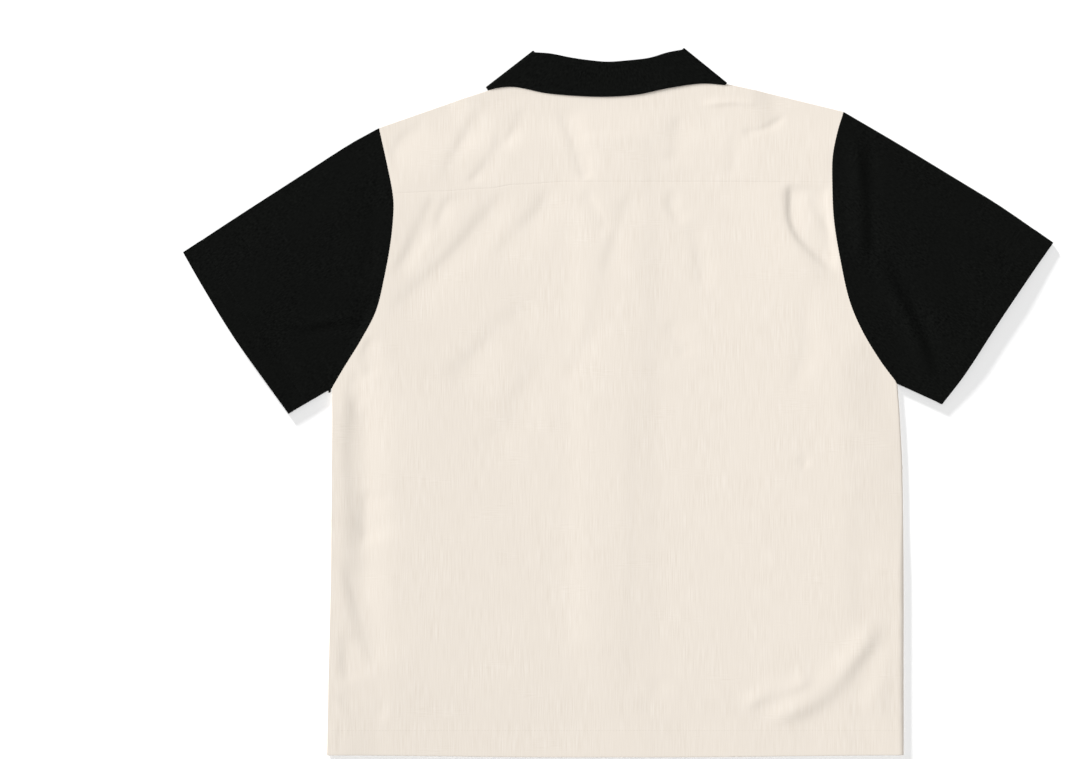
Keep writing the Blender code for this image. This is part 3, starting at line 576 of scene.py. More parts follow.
creamCloth = ribbedFabric("cream ribbed cotton", fabric["cream"])
blackCloth = ribbedFabric("black ribbed cotton", fabric["black"])
creamThread = streakedFinish("cream thread", (0.80, 0.74, 0.66), (0.70, 0.64, 0.56), 0.7)
blackThread = streakedFinish("black thread", (0.010, 0.011, 0.011), (0.004, 0.005, 0.005), 0.7)
print("shirt: fabrics ready")

bodyCut = {
    "cloth": 0.6, "step": 3.4, "fineFrom": 174, "fineTo": 206, "fineStep": 0.85,
    # the back's top edge runs in under the yoke: how far before and past the seam, and how deep
    "tuckRows": (-4.5, -2.2, -1.1, -0.4), "pastSeam": (0.3, 0.8, 1.5, 3.0), "seamDip": 0.07, "tuckDrop": 0.66,
}


def hemRows(depth, ply, step):  # insets from a hem and the turn of each row, from the raw ply round to the outside
    r = ply / 2
    inner = spaced(depth - 1.2, r, step * 1.6)
    bend = np.array([150, 120, 90, 60, 30], float)
    insets = np.concatenate([inner, np.full(len(bend), r)])
    turns = np.concatenate([np.full(len(inner), 180.0), bend])
    return insets, turns


def bodyColumns():  # shares across the body, close together at the rolled sides and round the sharp tuck
    low, high = outline["left"]["side"][0], outline["right"]["side"][0]
    near = np.append(edgeSteps(), [3.2, 5.6, 8.6])
    xs = np.concatenate([low + near, spaced(low + 12, bodyCut["fineFrom"], bodyCut["step"]),
                         spaced(bodyCut["fineFrom"], bodyCut["fineTo"], bodyCut["fineStep"])[1:],
                         spaced(bodyCut["fineTo"], high - 12, bodyCut["step"])[1:], high - near[::-1]])
    return (xs - low) / (high - low)


def layUpper(spots, part):
    flat = spots.reshape(-1, 2)
    height, way = upperSkin(flat, part)
    shape = spots.shape[:2] + (3,)
    return toMetres(flat, height).reshape(shape), way.reshape(shape)


def layLower(spots, raised=0.0):
    flat = spots.reshape(-1, 2)
    height, way = lowerSkin(flat, raised)
    shape = spots.shape[:2] + (3,)
    return toMetres(flat, height).reshape(shape), way.reshape(shape)


def sideStops(total, step):  # distances up a side from the hem, the turned ply and the fold first
    ply = 2 * bodyCut["cloth"] + 0.06
    insets, turns = hemRows(lay["bodyHem"], ply, step)
    edge = lay["bodyHem"]
    outer = np.concatenate([[ply / 2], spaced(2.4, edge - 3, step), edge + np.array([-1.6, -0.6, 0.6, 1.6]),
                            spaced(edge + 4, total - step, step)])
    return np.concatenate([insets, outer]), np.concatenate([turns, np.zeros(len(outer))]), ply


def makeBackPanel():
    total = pathLengths(sidePoints("left"))[-1]
    stops, turns, ply = sideStops(total, bodyCut["step"])
    sides = []
    for side in ("left", "right"):
        arm = outline[side]["armhole"]
        length = pathLengths(np.array(arm, float))[-1]
        seamAt = yokeArmShare(side) * length
        up = np.concatenate([np.linspace(0, seamAt - 7.5, 64), seamAt + np.array(bodyCut["tuckRows"]), [seamAt]])
        sides.append(np.vstack([along(sidePoints(side), stops / total), along(arm, up / length)]))
    left, right = sides
    across = bodyColumns()
    seamX = left[-1, 0] + (right[-1, 0] - left[-1, 0]) * across
    seam = np.column_stack([seamX, heightOn(outline["yokeSeam"], seamX)])
    hem = left[0] + (right[0] - left[0]) * across[:, None]
    hem[:, 1] -= outline["hemSag"] * ease(across * 2.4) * ease((1 - across) * 2.4)
    left[-1], right[-1] = seam[0], seam[-1]
    spots = coons(left, right, hem, seam, across)
    past = np.array(bodyCut["pastSeam"])[:, None, None] * np.array([0.0, 1.0])
    spots = np.concatenate([spots, spots[-1:] + past])
    turn = np.concatenate([turns, np.zeros(len(spots) - len(turns))])
    points, ways = layUpper(spots, "panel")
    over = spots[..., 1] - heightOn(outline["yokeSeam"], spots[..., 0].ravel()).reshape(spots.shape[:2])
    drop = bodyCut["seamDip"] * ease((over + 1.1) / 1.1)
    drop = drop + (bodyCut["tuckDrop"] - bodyCut["seamDip"]) * ease(over / 0.8)
    points = points - ways * drop[..., None] / 1000
    points = turned(points, ways, turn, ply / 1000, np.array([0.0, -1.0, 0.0]))
    return clothSheet("back_panel_cloth", "back_panel", points, spots, creamCloth, bodyCut)


def makeBackYoke():
    sides = {}
    for side in ("left", "right"):
        seamShare = yokeArmShare(side)
        shares = seamShare + (1.0 - seamShare) * np.concatenate([[0, 0.012, 0.03], np.linspace(0.06, 1.0, 50)])
        arm = along(outline[side]["armhole"], shares)
        last = np.linalg.norm(arm[-1] - arm[-2])
        way = (arm[-2] - arm[-1]) / last
        near = arm[-1] + way * edgeSteps()[::-1][:, None]
        keep = np.linalg.norm(arm - arm[-1], axis=1) > 3.0
        sides[side] = np.vstack([arm[keep], near])
    left, right = sides["left"], sides["right"]
    across = bodyColumns()
    x = left[0, 0] + (right[0, 0] - left[0, 0]) * across
    seam = np.column_stack([x, heightOn(outline["yokeSeam"], x)])
    path = list(outline["left"]["shoulder"]) + list(outline["backNeck"]) + list(outline["right"]["shoulder"][::-1])
    x = left[-1, 0] + (right[-1, 0] - left[-1, 0]) * across
    top = np.column_stack([x, np.interp(x, *np.array(path, float).T)])
    left[0], right[0] = seam[0], seam[-1]
    spots = coons(left, right, seam, top, across)
    points, ways = layUpper(spots, "yoke")
    over = spots[..., 1] - heightOn(outline["yokeSeam"], spots[..., 0].ravel()).reshape(spots.shape[:2])
    points = points - ways * (bodyCut["seamDip"] * 0.4 * ease(1 - over / 1.5))[..., None] / 1000
    return clothSheet("back_yoke_cloth", "back_yoke", points, spots, creamCloth, bodyCut)


backPanel = makeBackPanel()
backYoke = makeBackYoke()
print("shirt: back laid")

frontCut = {"cloth": 0.6, "step": 5.0, "turnIn": 12.0, "neckGap": 0.8, "neckSteps": 24, "squeeze": 0.45}


def frontNeck(sign, shares, gap):  # the neckline from the shoulder to the middle, moved out by a gap
    points = np.array(outline["frontNeck"], float) * np.array([sign, 1.0])
    run = along(points, np.clip(shares + 0.02, 0, 1)) - along(points, np.clip(shares - 0.02, 0, 1))
    out = np.column_stack([run[:, 1], -run[:, 0]]) / np.linalg.norm(run, axis=1)[:, None]
    return along(points, shares) - out * gap * sign


def makeFront(side):
    sign = -1 if side == "left" else 1
    ply = 2 * frontCut["cloth"] + 0.06
    insets, turns = hemRows(lay["bodyHem"], ply, frontCut["step"])
    line = sidePoints(side)
    total = pathLengths(line)[-1]
    up = spaced(1.0 + ply / 2, total, frontCut["step"])[:-1]
    low = along(line, np.concatenate([insets + 1.0, up]) / total)
    arm = along(outline[side]["armhole"], np.linspace(0, 1, 62))
    outer = np.vstack([low, arm])
    topY = outline["frontNeck"][-1][1] - frontCut["neckGap"]
    freeX = -sign * lay["lap"]
    share = (outer[:, 1] - outer[0, 1]) / (outer[-1, 1] - outer[0, 1])
    inner = np.column_stack([np.full(len(outer), freeX), outer[0, 1] + (topY - outer[0, 1]) * share])
    shoulder = np.array(outline[side]["shoulder"], float)
    neck = frontNeck(sign, np.linspace(0, 1, frontCut["neckSteps"] + 1), frontCut["neckGap"])
    shoulder[-1] = frontNeck(sign, np.array([0.0]), 0.0)[0]
    topLine = np.vstack([along(shoulder, np.linspace(0, 1, 34))[:-1], neck,
                         [[freeX / 8, topY], [freeX, topY]]])
    widths = pathLengths(topLine)
    inset = np.concatenate([edgeSteps(), spaced(4.0, widths[-1] - 1.2, frontCut["step"]), [widths[-1] - ply / 2]])
    turnX = np.zeros(len(inset))
    back = np.array([widths[-1] - ply / 2] * 5 + [widths[-1] - d for d in (3.0, 6.0, 9.0, frontCut["turnIn"])])
    turnX = np.concatenate([turnX, [30, 60, 90, 120, 150, 180, 180, 180, 180]])
    across = np.concatenate([inset, back]) / widths[-1]
    top = evenly(topLine, across)
    hem = outer[0] + (inner[0] - outer[0]) * across[:, None]
    spots = coons(outer, inner, hem, top, across)
    raised = 0.0
    if side == "right":
        x = spots.reshape(-1, 2)[:, 0]
        raised = lay["lapStep"] * (1 - ease((x - lay["lap"] - lay["lapMargin"]) / lay["lapFall"]))
    points, ways = layLower(spots, raised)
    turn = np.concatenate([turns, np.zeros(len(spots) - len(turns))])
    nearEdge = ease((frontCut["turnIn"] + 4 - abs(spots[..., 0] - freeX)) / 4)
    nearHem = ease((lay["bodyHem"] + 4 - spots[..., 1]) / 4)
    plies = ply * (1 - frontCut["squeeze"] * nearEdge * nearHem)[..., None] / 1000  # pressed flat in the corner
    points = turned(points, ways, turn, plies, np.array([0.0, -1.0, 0.0]))
    points = turned(points, ways, turnX[None, :, None], plies, np.array([[[-sign, 0.0, 0.0]]]))
    name = "front_" + side
    return clothSheet(name + "_cloth", name, points, spots, creamCloth, frontCut,
                      faceDown=side == "left")


frontLeft = makeFront("left")
frontRight = makeFront("right")
print("shirt: fronts laid")

sleeveCut = {"cloth": 0.6, "step": 3.2, "tuck": 1.8, "tuckDrop": 0.68, "tuckReach": 3.6}


def makeSleeve(side):
    step = sleeveCut["step"]
    ply = 2 * sleeveCut["cloth"] + 0.06
    arm = np.array(outline[side]["armhole"], float)
    bottom, top = np.array(outline[side]["cuff"], float)[[0, -1]]
    length = pathLengths(along(arm, np.linspace(0, 1, 200)))[-1]
    near = edgeSteps()
    stops = np.concatenate([near, spaced(3.4, length - 3.4, step), length - near[::-1]]) / length
    w = np.concatenate([stops, stops[::-1][1:]])
    over = np.arange(len(w)) < len(stops)
    start = along(arm, w)
    end = along(outline[side]["cuff"], w)
    sleeveLength = np.linalg.norm(arm[-1] - top)
    inward = np.array([1.0 if side == "left" else -1.0, 0.0])
    insets, turns = hemRows(lay["cuffHem"], ply, step)
    outside = np.concatenate([[ply / 2], spaced(2.4, lay["cuffHem"] - 1.5, step),
                              [lay["cuffHem"] - 0.7, lay["cuffHem"], lay["cuffHem"] + 0.7],
                              spaced(lay["cuffHem"] + 3, sleeveLength - 4, step),
                              sleeveLength - np.array([3, 2, 1, 0, -sleeveCut["tuck"]])])
    fromCuff = np.concatenate([insets, outside])
    share = 1 - fromCuff / sleeveLength  # 0 at the armhole, 1 at the cuff
    spots = start[None] * (1 - share[:, None, None]) + end[None] * share[:, None, None]
    straight = arm[-1] + (top - arm[-1]) * share[:, None]
    bow = along(outline[side]["over"], np.maximum(share, 0.0)) - straight
    spots = spots + np.where(share[:, None] > 0, bow, 0.0)[:, None] * w[:, None]
    past = np.maximum(-share, 0.0)[:, None, None]
    spots = np.where(past > 0, start[None] + inward * past * sleeveLength, spots)
    upper, upWays = layUpper(spots, "sleeves")
    lower, downWays = layLower(spots)
    points = np.where(over[None, :, None], upper, lower)
    ways = np.where(over[None, :, None], upWays, downWays)
    fromArm = sleeveLength - fromCuff
    drop = sleeveCut["tuckDrop"] * ease((sleeveCut["tuckReach"] / 2 - fromArm) / sleeveCut["tuckReach"])
    points = points - ways * drop[:, None, None] / 1000
    run = (top + bottom) / 2 - (arm[0] + arm[-1]) / 2
    run = run / np.linalg.norm(run)
    turn = np.concatenate([turns, np.zeros(len(outside))])
    points = turned(points, ways, turn, ply / 1000, np.array([run[0], run[1], 0.0]))
    acrossArm = np.array([-run[1], run[0]])
    grain = np.stack([spots @ acrossArm, spots @ run], axis=-1)
    grain[..., 0] = np.where(over[None], grain[..., 0], 700 - grain[..., 0])
    name = "sleeve_" + side
    return clothSheet(name + "_cloth", name, points, grain, blackCloth, sleeveCut,
                      faceDown=side == "left", tube=True)


sleeveLeft = makeSleeve("left")
sleeveRight = makeSleeve("right")
print("shirt: sleeves laid")

# The collar, one section to a row: where its seam, roll and edge lie, from the wearer's left round the back
collarCut = {
    "cloth": 1.3, "half": 0.7, "axis": 3.35, "standRadius": 0.95, "fallRadius": 2.65,
    "rollSteps": 10, "fallSteps": 18, "standSteps": 8, "foldSteps": 14, "frontSteps": 44, "between": 9,
    "back": (((-89.5, 719.2), (-85.4, 747.8), (-135.4, 708.4)), ((-74, 713), (-66, 743.8), (-106, 708.4)),
             ((-54, 709.3), (-46, 739.8), (-72, 701.8)), ((-30, 706.8), (-27, 737), (-38, 698.8)),
             ((-5, 706), (-6, 735.2), (-6.4, 698)), ((21, 706.8), (17, 736.8), (26, 700.4)),
             ((44, 709.4), (38, 739.4), (58, 707)), ((64, 713), (57, 745), (92, 711.8)),
             ((80.8, 718.6), (74.9, 750.6), (120.6, 712.9))),
    "front": (((73, 719), (131, 679)), ((50, 693), (116, 650)), ((26, 669), (97, 621)), ((3, 656), (76, 592))),
}


def unit(v):
    return v / np.linalg.norm(v)


def collarSection(row, outward, turn):  # up the stand, over the roll and down the fall
    seam, roll, edge = (np.array(p, float) for p in row)
    rollRadius = (collarCut["fallRadius"] - collarCut["standRadius"]) / 2
    tip = unit(unit(roll - seam) + unit(roll - edge))
    base = roll - tip * (rollRadius + collarCut["half"])
    steps = [(seam + (base - seam) * i / collarCut["standSteps"], collarCut["standRadius"], 0.0)
             for i in range(collarCut["standSteps"])]
    middle = (collarCut["standRadius"] + collarCut["fallRadius"]) / 2
    for i in range(collarCut["rollSteps"] + 1):
        lean = math.pi * i / collarCut["rollSteps"]
        steps.append((base + tip * rollRadius * math.sin(lean), middle - rollRadius * math.cos(lean), lean))
    steps += [(base + (edge - base) * i / collarCut["fallSteps"], collarCut["fallRadius"], math.pi)
              for i in range(1, collarCut["fallSteps"] + 1)]
    radial = np.array([*(outward * math.sin(turn)), math.cos(turn)])
    ahead = np.array([*tip, 0.0])
    section = []
    for spot, radius, lean in steps:
        spot = spot + outward * radius * math.sin(turn)
        way = unit(ahead * math.sin(lean) - radial * math.cos(lean))
        centre = np.array([*(spot - np.array(outline["centre"])), collarCut["axis"] + radius * math.cos(turn)])
        section.append((centre + way * collarCut["half"]) / 1000)
    return section


def rowsBetween(rows, shares):  # rows on smooth curves through the sections
    table = np.array(rows, float).reshape(len(rows), 6)
    step = shares * (len(rows) - 1)
    i = np.minimum(step.astype(int), len(rows) - 2)
    s = (step - i)[:, None]
    slopes = np.gradient(table, axis=0)
    found = ((2 * s**3 - 3 * s**2 + 1) * table[i] + (s**3 - 2 * s**2 + s) * slopes[i]
             + (3 * s**2 - 2 * s**3) * table[i + 1] + (s**3 - s**2) * slopes[i + 1])
    return found.reshape(-1, 3, 2)


def foldAxis(row, sign):  # the axis of a side fold, set in from the collar's outline, and the way out across it
    seam, roll, edge = (np.array(p, float) for p in row)
    run = roll - edge
    outward = unit(np.array([sign * abs(run[1]), abs(run[0])]))
    inset = outward * (collarCut["fallRadius"] + collarCut["half"])
    return (seam - np.array([inset[0] / 2, 0.0]), roll - inset, edge - inset), outward


def collarSide(fold, outward, sign):
    mirror = np.array([sign, 1.0])
    rows = [fold] + [((0.0, 0.0), np.array(roll) * mirror, np.array(edge) * mirror)
                     for roll, edge in collarCut["front"]]
    shares = np.linspace(1, 0, collarCut["frontSteps"] + 1)[:-1]
    found = rowsBetween(rows, shares)
    found[:, 0] = frontNeck(sign, shares, 0.0)
    sections = [collarSection(row, outward, math.pi) for row in found]
    turns = [math.pi * (1 - i / collarCut["foldSteps"]) for i in range(collarCut["foldSteps"])]
    return sections + [collarSection(fold, outward, turn) for turn in turns]


def makeCollar():
    back = collarCut["back"]
    leftFold, leftOut = foldAxis(back[0], -1)
    rightFold, rightOut = foldAxis(back[-1], 1)
    rows = [leftFold, *back[1:-1], rightFold]
    shares = np.linspace(0, 1, collarCut["between"] * (len(rows) - 1) + 1)
    run = collarSide(leftFold, leftOut, -1)
    run += [collarSection(row, leftOut, 0.0) for row in rowsBetween(rows, shares)]
    run += collarSide(rightFold, rightOut, 1)[::-1]
    points = np.array(run)
    lengthwise = pathLengths(points[:, len(points[0]) // 2]) * 1000
    acrossBand = np.array([pathLengths(section) for section in points]) * 1000
    grain = np.stack([np.broadcast_to(lengthwise[:, None], acrossBand.shape), acrossBand], axis=-1)
    return clothSheet("collar_cloth", "collar", points, grain, blackCloth, collarCut), points


collar, collarPoints = makeCollar()
print("shirt: collar folded")


# The button's face is a sunk well with four holes, its rim a row of rings: radius and height of each
buttonCut.update({
    "well": 3.2, "wellHeight": 1.2, "backHeight": 0.05, "holeRadius": 0.52, "holeAt": 0.375,
    "rim": ((3.6, 1.45), (4.1, 1.75), (4.6, 1.8), (5.2, 1.72), (5.6, 1.4), (5.7, 1.0), (5.6, 0.55), (5.1, 0.15),
            (4.4, 0.0), (3.2, 0.05)),
})


def onDisc(u, v):  # a spot of a square moved to its place on a round disc
    return Vector((u * math.sqrt(1 - v * v / 2), v * math.sqrt(1 - u * u / 2), 0.0)) * buttonCut["well"]


def holeOf(vert):  # the middle of the button hole that a vert of the square borders, if it does
    at = buttonCut["holeAt"]
    middle = (math.copysign(at, vert.co.x), math.copysign(at, vert.co.y))
    off = Vector((vert.co.x - middle[0], vert.co.y - middle[1], 0.0))
    return (middle, off) if max(abs(off.x), abs(off.y)) < 0.13 else None


def buttonShape():
    bm = bmesh.new()
    bmesh.ops.create_grid(bm, x_segments=8, y_segments=8, size=1.0)
    at = buttonCut["holeAt"]
    holes = [face for face in bm.faces if all(abs(abs(c) - at) < 0.01 for c in face.calc_center_median()[:2])]
    around = list({edge for face in holes for edge in face.edges})
    bmesh.ops.delete(bm, geom=holes, context="FACES_ONLY")
    bmesh.ops.bisect_edges(bm, edges=around, cuts=1)
    for vert in bm.verts:
        hole = holeOf(vert)
        if hole:
            vert.co = onDisc(*hole[0]) + hole[1].normalized() * buttonCut["holeRadius"]
        else:
            vert.co = onDisc(vert.co.x, vert.co.y)
        vert.co.z = buttonCut["wellHeight"]
    made = bmesh.ops.duplicate(bm, geom=bm.verts[:] + bm.edges[:] + bm.faces[:])["geom"]
    for vert in (item for item in made if isinstance(item, bmesh.types.BMVert)):
        vert.co.z = buttonCut["backHeight"]
    bmesh.ops.reverse_faces(bm, faces=[item for item in made if isinstance(item, bmesh.types.BMFace)])
    for u in (-at, at):
        for v in (-at, at):
            middle = onDisc(u, v)
            loops = [edge for edge in bm.edges if edge.is_boundary and
                     all((vert.co.xy - middle.xy).length < 0.6 for vert in edge.verts)]
            bmesh.ops.bridge_loops(bm, edges=loops)
    ring = [edge for edge in bm.edges if edge.is_boundary and edge.verts[0].co.z > 1.0]
    for radius, height in buttonCut["rim"]:
        grown = bmesh.ops.extrude_edge_only(bm, edges=ring)["geom"]
        for vert in (item for item in grown if isinstance(item, bmesh.types.BMVert)):
            vert.co.xy = vert.co.xy.normalized() * radius
            vert.co.z = height
        ring = [item for item in grown if isinstance(item, bmesh.types.BMEdge)]
    bmesh.ops.remove_doubles(bm, verts=bm.verts, dist=0.01)
    bmesh.ops.recalc_face_normals(bm, faces=bm.faces)
    return bm


def meshPiece(name, bm, material):
    mesh = bpy.data.meshes.new(name)
    bm.to_mesh(mesh)
    bm.free()
    mesh.shade_smooth()
    mesh.materials.append(material)
    piece = bpy.data.objects.new(name, mesh)
    bpy.context.scene.collection.objects.link(piece)
    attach(piece, "root")
    return piece


def buttonHeights():
    return [buttonCut["lowest"] + buttonCut["spacing"] * i for i in range(buttonCut["count"])]


def makeButtons():
    horn = streakedFinish("button horn", (0.74, 0.68, 0.58), (0.62, 0.55, 0.44), 0.3, 0.5)
    for number, y in enumerate(reversed(buttonHeights()), 1):
        bm = buttonShape()
        bmesh.ops.rotate(bm, verts=bm.verts, cent=(0, 0, buttonCut["thickness"] / 2),
                         matrix=Matrix.Rotation(math.pi, 3, "X"))  # its face lies on the ground
        bmesh.ops.scale(bm, verts=bm.verts, vec=(0.001, 0.001, 0.001))
        bmesh.ops.translate(bm, verts=bm.verts, vec=toMetres(np.array([[0.0, y]]), np.array([0.0]))[0])
        piece = meshPiece("button_" + str(number) + "_turned", bm, horn)
        piece.data.set_sharp_from_angle(angle=math.radians(50))
        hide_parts("button_" + str(number))


makeButtons()
print("shirt: buttons made")

# Sewing: machine stitches along the hems, the armholes, the collar's edge and the front's edge, in mm
sewing = {
    "pitch": 3.1, "length": 2.5, "radius": 0.22, "sunk": 0.06, "hemRow": 26.6, "cuffRow": 23.2, "edgeRow": 2.2,
    "collarRow": 4.6, "seamPitch": 3.3, "seamLength": 2.3, "seamRadius": 0.25,
    "holeLength": 14, "satinPitch": 0.62, "satinWide": 1.5, "satinAside": 0.85, "satinRadius": 0.2,
    "barLength": 3.3, "barRadius": 0.34, "barHeight": 0.5, "shank": (0.8, 1.3, 4.2),
    "seamEnd": (-301.1, 388.4, 2.2), "seamEndSize": (9.0, 1.05),
}


def addStitch(bm, spot, run, up, length, radius):  # a thread stitch lying on the cloth, sizes in mm
    up, run = Vector(up).normalized(), Vector(run).normalized()
    side = up.cross(run).normalized()
    turn = Matrix((run, side, run.cross(side))).transposed().to_4x4()
    size = Matrix.Diagonal((length / 2000, radius / 1000, radius * 0.7 / 1000, 1.0))
    bmesh.ops.create_uvsphere(bm, u_segments=6, v_segments=4, radius=1.0,
                              matrix=Matrix.Translation(spot) @ turn @ size)


def sewRows(name, rows, material, pitch="pitch", length="length", radius="radius"):
    # rows of stitches, each along a line of points with the way out of the cloth at every point
    bm = bmesh.new()
    for points, ways in rows:
        total = pathLengths(points) * 1000
        places = np.arange(sewing[pitch] / 2, total[-1] - sewing[pitch] / 3, sewing[pitch])
        at = [np.column_stack([np.interp(places + shift, total, column) for column in points.T])
              for shift in (-0.8, 0.0, 0.8)]
        ups = np.column_stack([np.interp(places, total, column) for column in ways.T])
        for before, spot, after, up in zip(*at, ups):
            spot = spot - up * sewing["sunk"] / 1000
            addStitch(bm, spot, after - before, up, sewing[length], sewing[radius])
    return meshPiece(name, bm, material)


def rowOn(spots, part=None, raised=0.0):  # a sewing line laid on the upper layer's part, or on the lower layer
    spots = np.array(spots, float)[None]
    points, ways = layUpper(spots, part) if part else layLower(spots, raised)
    return points[0], ways[0]


def hemRow(start, end):
    return np.column_stack([spaced(start, end, 4), np.full(len(spaced(start, end, 4)), sewing["hemRow"])])


def cuffRow(side):
    line = along(outline[side]["cuff"], np.linspace(0.012, 0.988, 60))
    run = unit(line[-1] - line[0])
    inward = np.array([run[1], -run[0]]) * (1 if side == "left" else -1)
    inward = inward * np.sign(inward @ (np.array(outline[side]["armhole"][4]) - line[30]))
    return line + inward * sewing["cuffRow"]


def sewShirt():
    made = {}
    made["back"] = sewRows("back_hem_stitches", [rowOn(hemRow(-299, 304), "panel")], creamThread)
    row = hemRow(-299, lay["lap"] - 2)
    edge = np.column_stack([np.full(150, lay["lap"] - sewing["edgeRow"]), np.linspace(2, 636, 150)])
    made["left"] = sewRows("front_left_stitches", [rowOn(row), rowOn(edge)], creamThread)
    row = hemRow(2 - lay["lap"], 304)
    raised = lay["lapStep"] * (1 - ease((row[:, 0] - lay["lap"] - lay["lapMargin"]) / lay["lapFall"]))
    made["right"] = sewRows("front_right_stitches", [rowOn(row, None, raised)], creamThread)
    for side in ("left", "right"):
        row = cuffRow(side)
        made["cuff " + side] = sewRows("cuff_" + side + "_stitches", [rowOn(row, "sleeves"), rowOn(row)],
                                       blackThread)
        arm = along(outline[side]["armhole"], np.linspace(0.01, 0.99, 120))
        made["arm " + side] = sewRows("armhole_" + side + "_stitches", [rowOn(arm, "sleeves"), rowOn(arm)],
                                      creamThread, "seamPitch", "seamLength", "seamRadius")
    across = collarPoints[:, -1] - collarPoints[:, -2]
    across = across / np.linalg.norm(across, axis=1)[:, None]
    line = collarPoints[:, -1] - across * sewing["collarRow"] / 1000
    ups = np.cross(np.gradient(line, axis=0), across)
    ups = ups / np.linalg.norm(ups, axis=1)[:, None]
    ups = ups * np.sign(ups[len(ups) // 2, 2])
    line = line - ups * (0.0001 * (ups[:, 2] < 0))[:, None]  # pressed in where the collar lies on the ground
    made["collar"] = sewRows("collar_edge_stitches", [(line, ups)], blackThread)
    return made


def sewButtonholes():
    bm = bmesh.new()
    half, aside = sewing["holeLength"] / 2, sewing["satinAside"]
    for y in buttonHeights():
        ys = spaced(y - half, y + half, sewing["satinPitch"])
        bars = spaced(-aside, aside, sewing["satinPitch"] * 0.8)
        stitches = [((x, at), (1.0, 0.0)) for at in ys for x in (-aside, aside)]
        stitches += [((x, end), (0.0, 1.0)) for x in bars for end in (y - half - 0.5, y + half + 0.5)]
        points, ways = rowOn([spot for spot, _ in stitches])
        for spot, up, (_, way) in zip(points, ways, stitches):
            addStitch(bm, spot - up * 0.00004, (*way, 0.0), up, sewing["satinWide"], sewing["satinRadius"])
    return meshPiece("buttonhole_stitches", bm, creamThread)


def sewButtonsOn():
    bm = bmesh.new()
    hole = onDisc(buttonCut["holeAt"], buttonCut["holeAt"]).y
    radius, low, high = sewing["shank"]
    for y in buttonHeights():
        for aside in (-hole, hole):
            spot = toMetres(np.array([[aside, y]]), np.array([sewing["barHeight"]]))[0]
            addStitch(bm, spot, (0, 1, 0), (0, 0, -1), sewing["barLength"], sewing["barRadius"])
        foot = toMetres(np.array([[0.0, y]]), np.array([(low + high) / 2]))[0]
        bmesh.ops.create_cone(bm, cap_ends=True, segments=10, radius1=radius * 0.85 / 1000, radius2=radius / 1000,
                              depth=(high - low) / 1000, matrix=Matrix.Translation(foot))
    return meshPiece("button_threads", bm, creamThread)


def makeSeamEnd():  # the overlocked end of the left sleeve's seam, which shows at the underarm
    bm = bmesh.new()
    x, y, z = sewing["seamEnd"]
    spot = toMetres(np.array([[x, y]]), np.array([z]))[0]
    for aside in (-0.5, 0.5):
        addStitch(bm, spot + np.array([aside / 1000, 0, 0]), (0.05, 1, 0), (0, 0, 1), *sewing["seamEndSize"])
    return meshPiece("underarm_seam_end", bm, blackThread)


stitches = sewShirt()
buttonholes = sewButtonholes()
buttonThreads = sewButtonsOn()
seamEnd = makeSeamEnd()
print("shirt: sewn")

# Each light's share of the light on a flat surface, the height it comes from in degrees, the way its light falls
# across the floor, its softness in degrees and what it lights
studio = {
    "frameWidth": 1.1395, "viewCentre": (-0.0861, 0.0237), "cameraHeight": 2.6, "sky": 0.3,
    # a large soft box above the shirt's top: its share of the light there, place and side
    "softBox": (0.325, (0.5, 0.42, 2.9), 1.2),
    "lights": {
        "soft key light": (0.45, 24, (0.96, -0.28), 28, "shirt"),
        "floor light": (0.55, 90, (0.0, 0.0), 20, "floor"),
        "low floor light": (0.33, 11.2, (0.53, -0.85), 5, "floor"),
    },
}


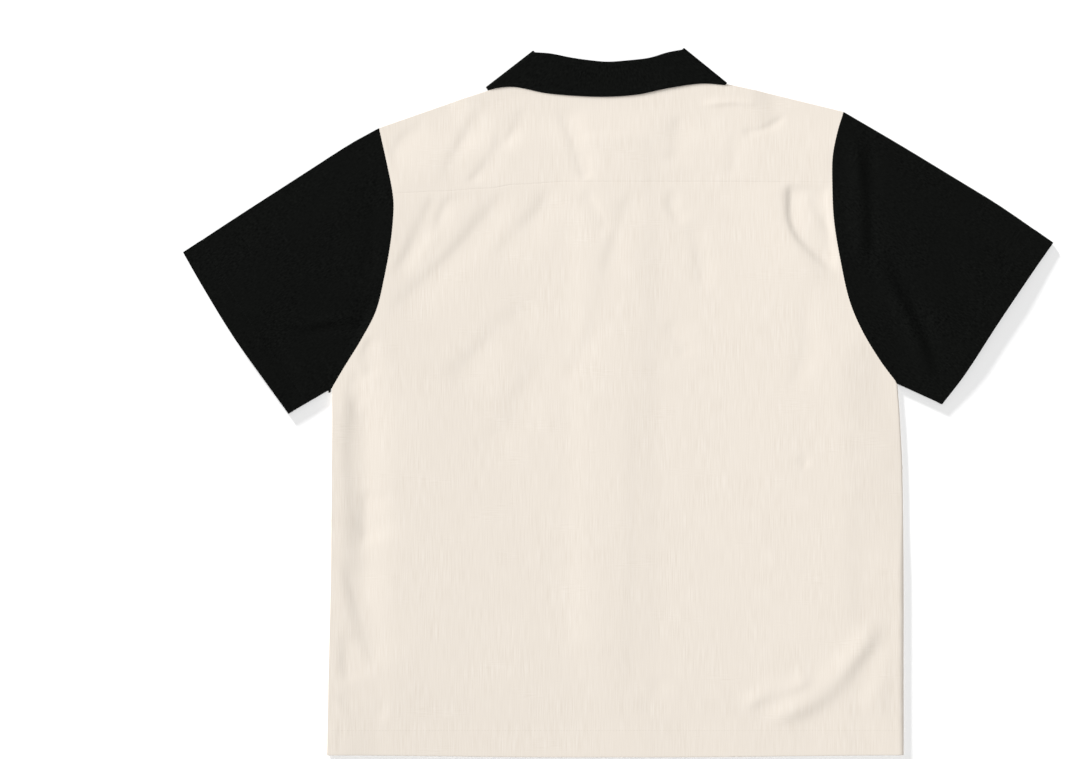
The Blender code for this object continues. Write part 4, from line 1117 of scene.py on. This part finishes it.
def makeStudio():
    scene = bpy.context.scene
    scene.view_settings.view_transform = "Standard"
    shirtPieces = bpy.data.collections.new("lit as the shirt")
    floorPieces = bpy.data.collections.new("lit as the floor")
    for piece in scene.objects:
        if piece.type == "MESH":
            shirtPieces.objects.link(piece)
    bm = bmesh.new()
    bmesh.ops.create_grid(bm, x_segments=1, y_segments=1, size=4.0)
    bmesh.ops.translate(bm, verts=bm.verts, vec=(0, 0, -0.0002))
    mesh = bpy.data.meshes.new("floor")
    bm.to_mesh(mesh)
    bm.free()
    paper = bpy.data.materials.new("white paper floor")
    paper.use_nodes = True
    shader = paper.node_tree.nodes["Principled BSDF"]
    shader.inputs["Base Color"].default_value = (0.95, 0.95, 0.95, 1.0)
    shader.inputs["Roughness"].default_value = 0.9
    shader.inputs["Specular IOR Level"].default_value = 0.0
    mesh.materials.append(paper)
    floor = bpy.data.objects.new("floor", mesh)
    scene.collection.objects.link(floor)
    floorPieces.objects.link(floor)
    world = bpy.data.worlds.new("soft white room")
    world.use_nodes = True
    world.node_tree.nodes["Background"].inputs["Color"].default_value = (1.0, 1.0, 1.0, 1.0)
    world.node_tree.nodes["Background"].inputs["Strength"].default_value = studio["sky"]
    scene.world = world
    share, place, side = studio["softBox"]
    box = bpy.data.lights.new("soft box", "AREA")
    box.shape, box.size = "SQUARE", side
    box.energy = share * math.pi**2 * place[2]**2
    lamp = bpy.data.objects.new("soft box", box)
    lamp.location = place
    lamp.light_linking.receiver_collection = shirtPieces
    scene.collection.objects.link(lamp)
    for name, (share, elevation, across, softness, lit) in studio["lights"].items():
        light = bpy.data.lights.new(name, "SUN")
        light.energy = share * math.pi / math.sin(math.radians(elevation))
        light.angle = math.radians(softness)
        lamp = bpy.data.objects.new(name, light)
        lamp.rotation_mode = "QUATERNION"
        way = Vector((*across, -math.tan(math.radians(elevation)) if elevation < 90 else -1.0))
        lamp.rotation_quaternion = way.to_track_quat("-Z", "Y")
        lamp.light_linking.receiver_collection = floorPieces if lit == "floor" else shirtPieces
        scene.collection.objects.link(lamp)
    eye = bpy.data.cameras.new("camera above")
    eye.sensor_width = 36.0
    eye.lens = 18.0 / (studio["frameWidth"] / 2 / (studio["cameraHeight"] - 0.004))
    camera = bpy.data.objects.new("camera above", eye)
    camera.location = (*studio["viewCentre"], studio["cameraHeight"])
    scene.collection.objects.link(camera)
    scene.camera = camera


makeStudio()

print("shirt: done")
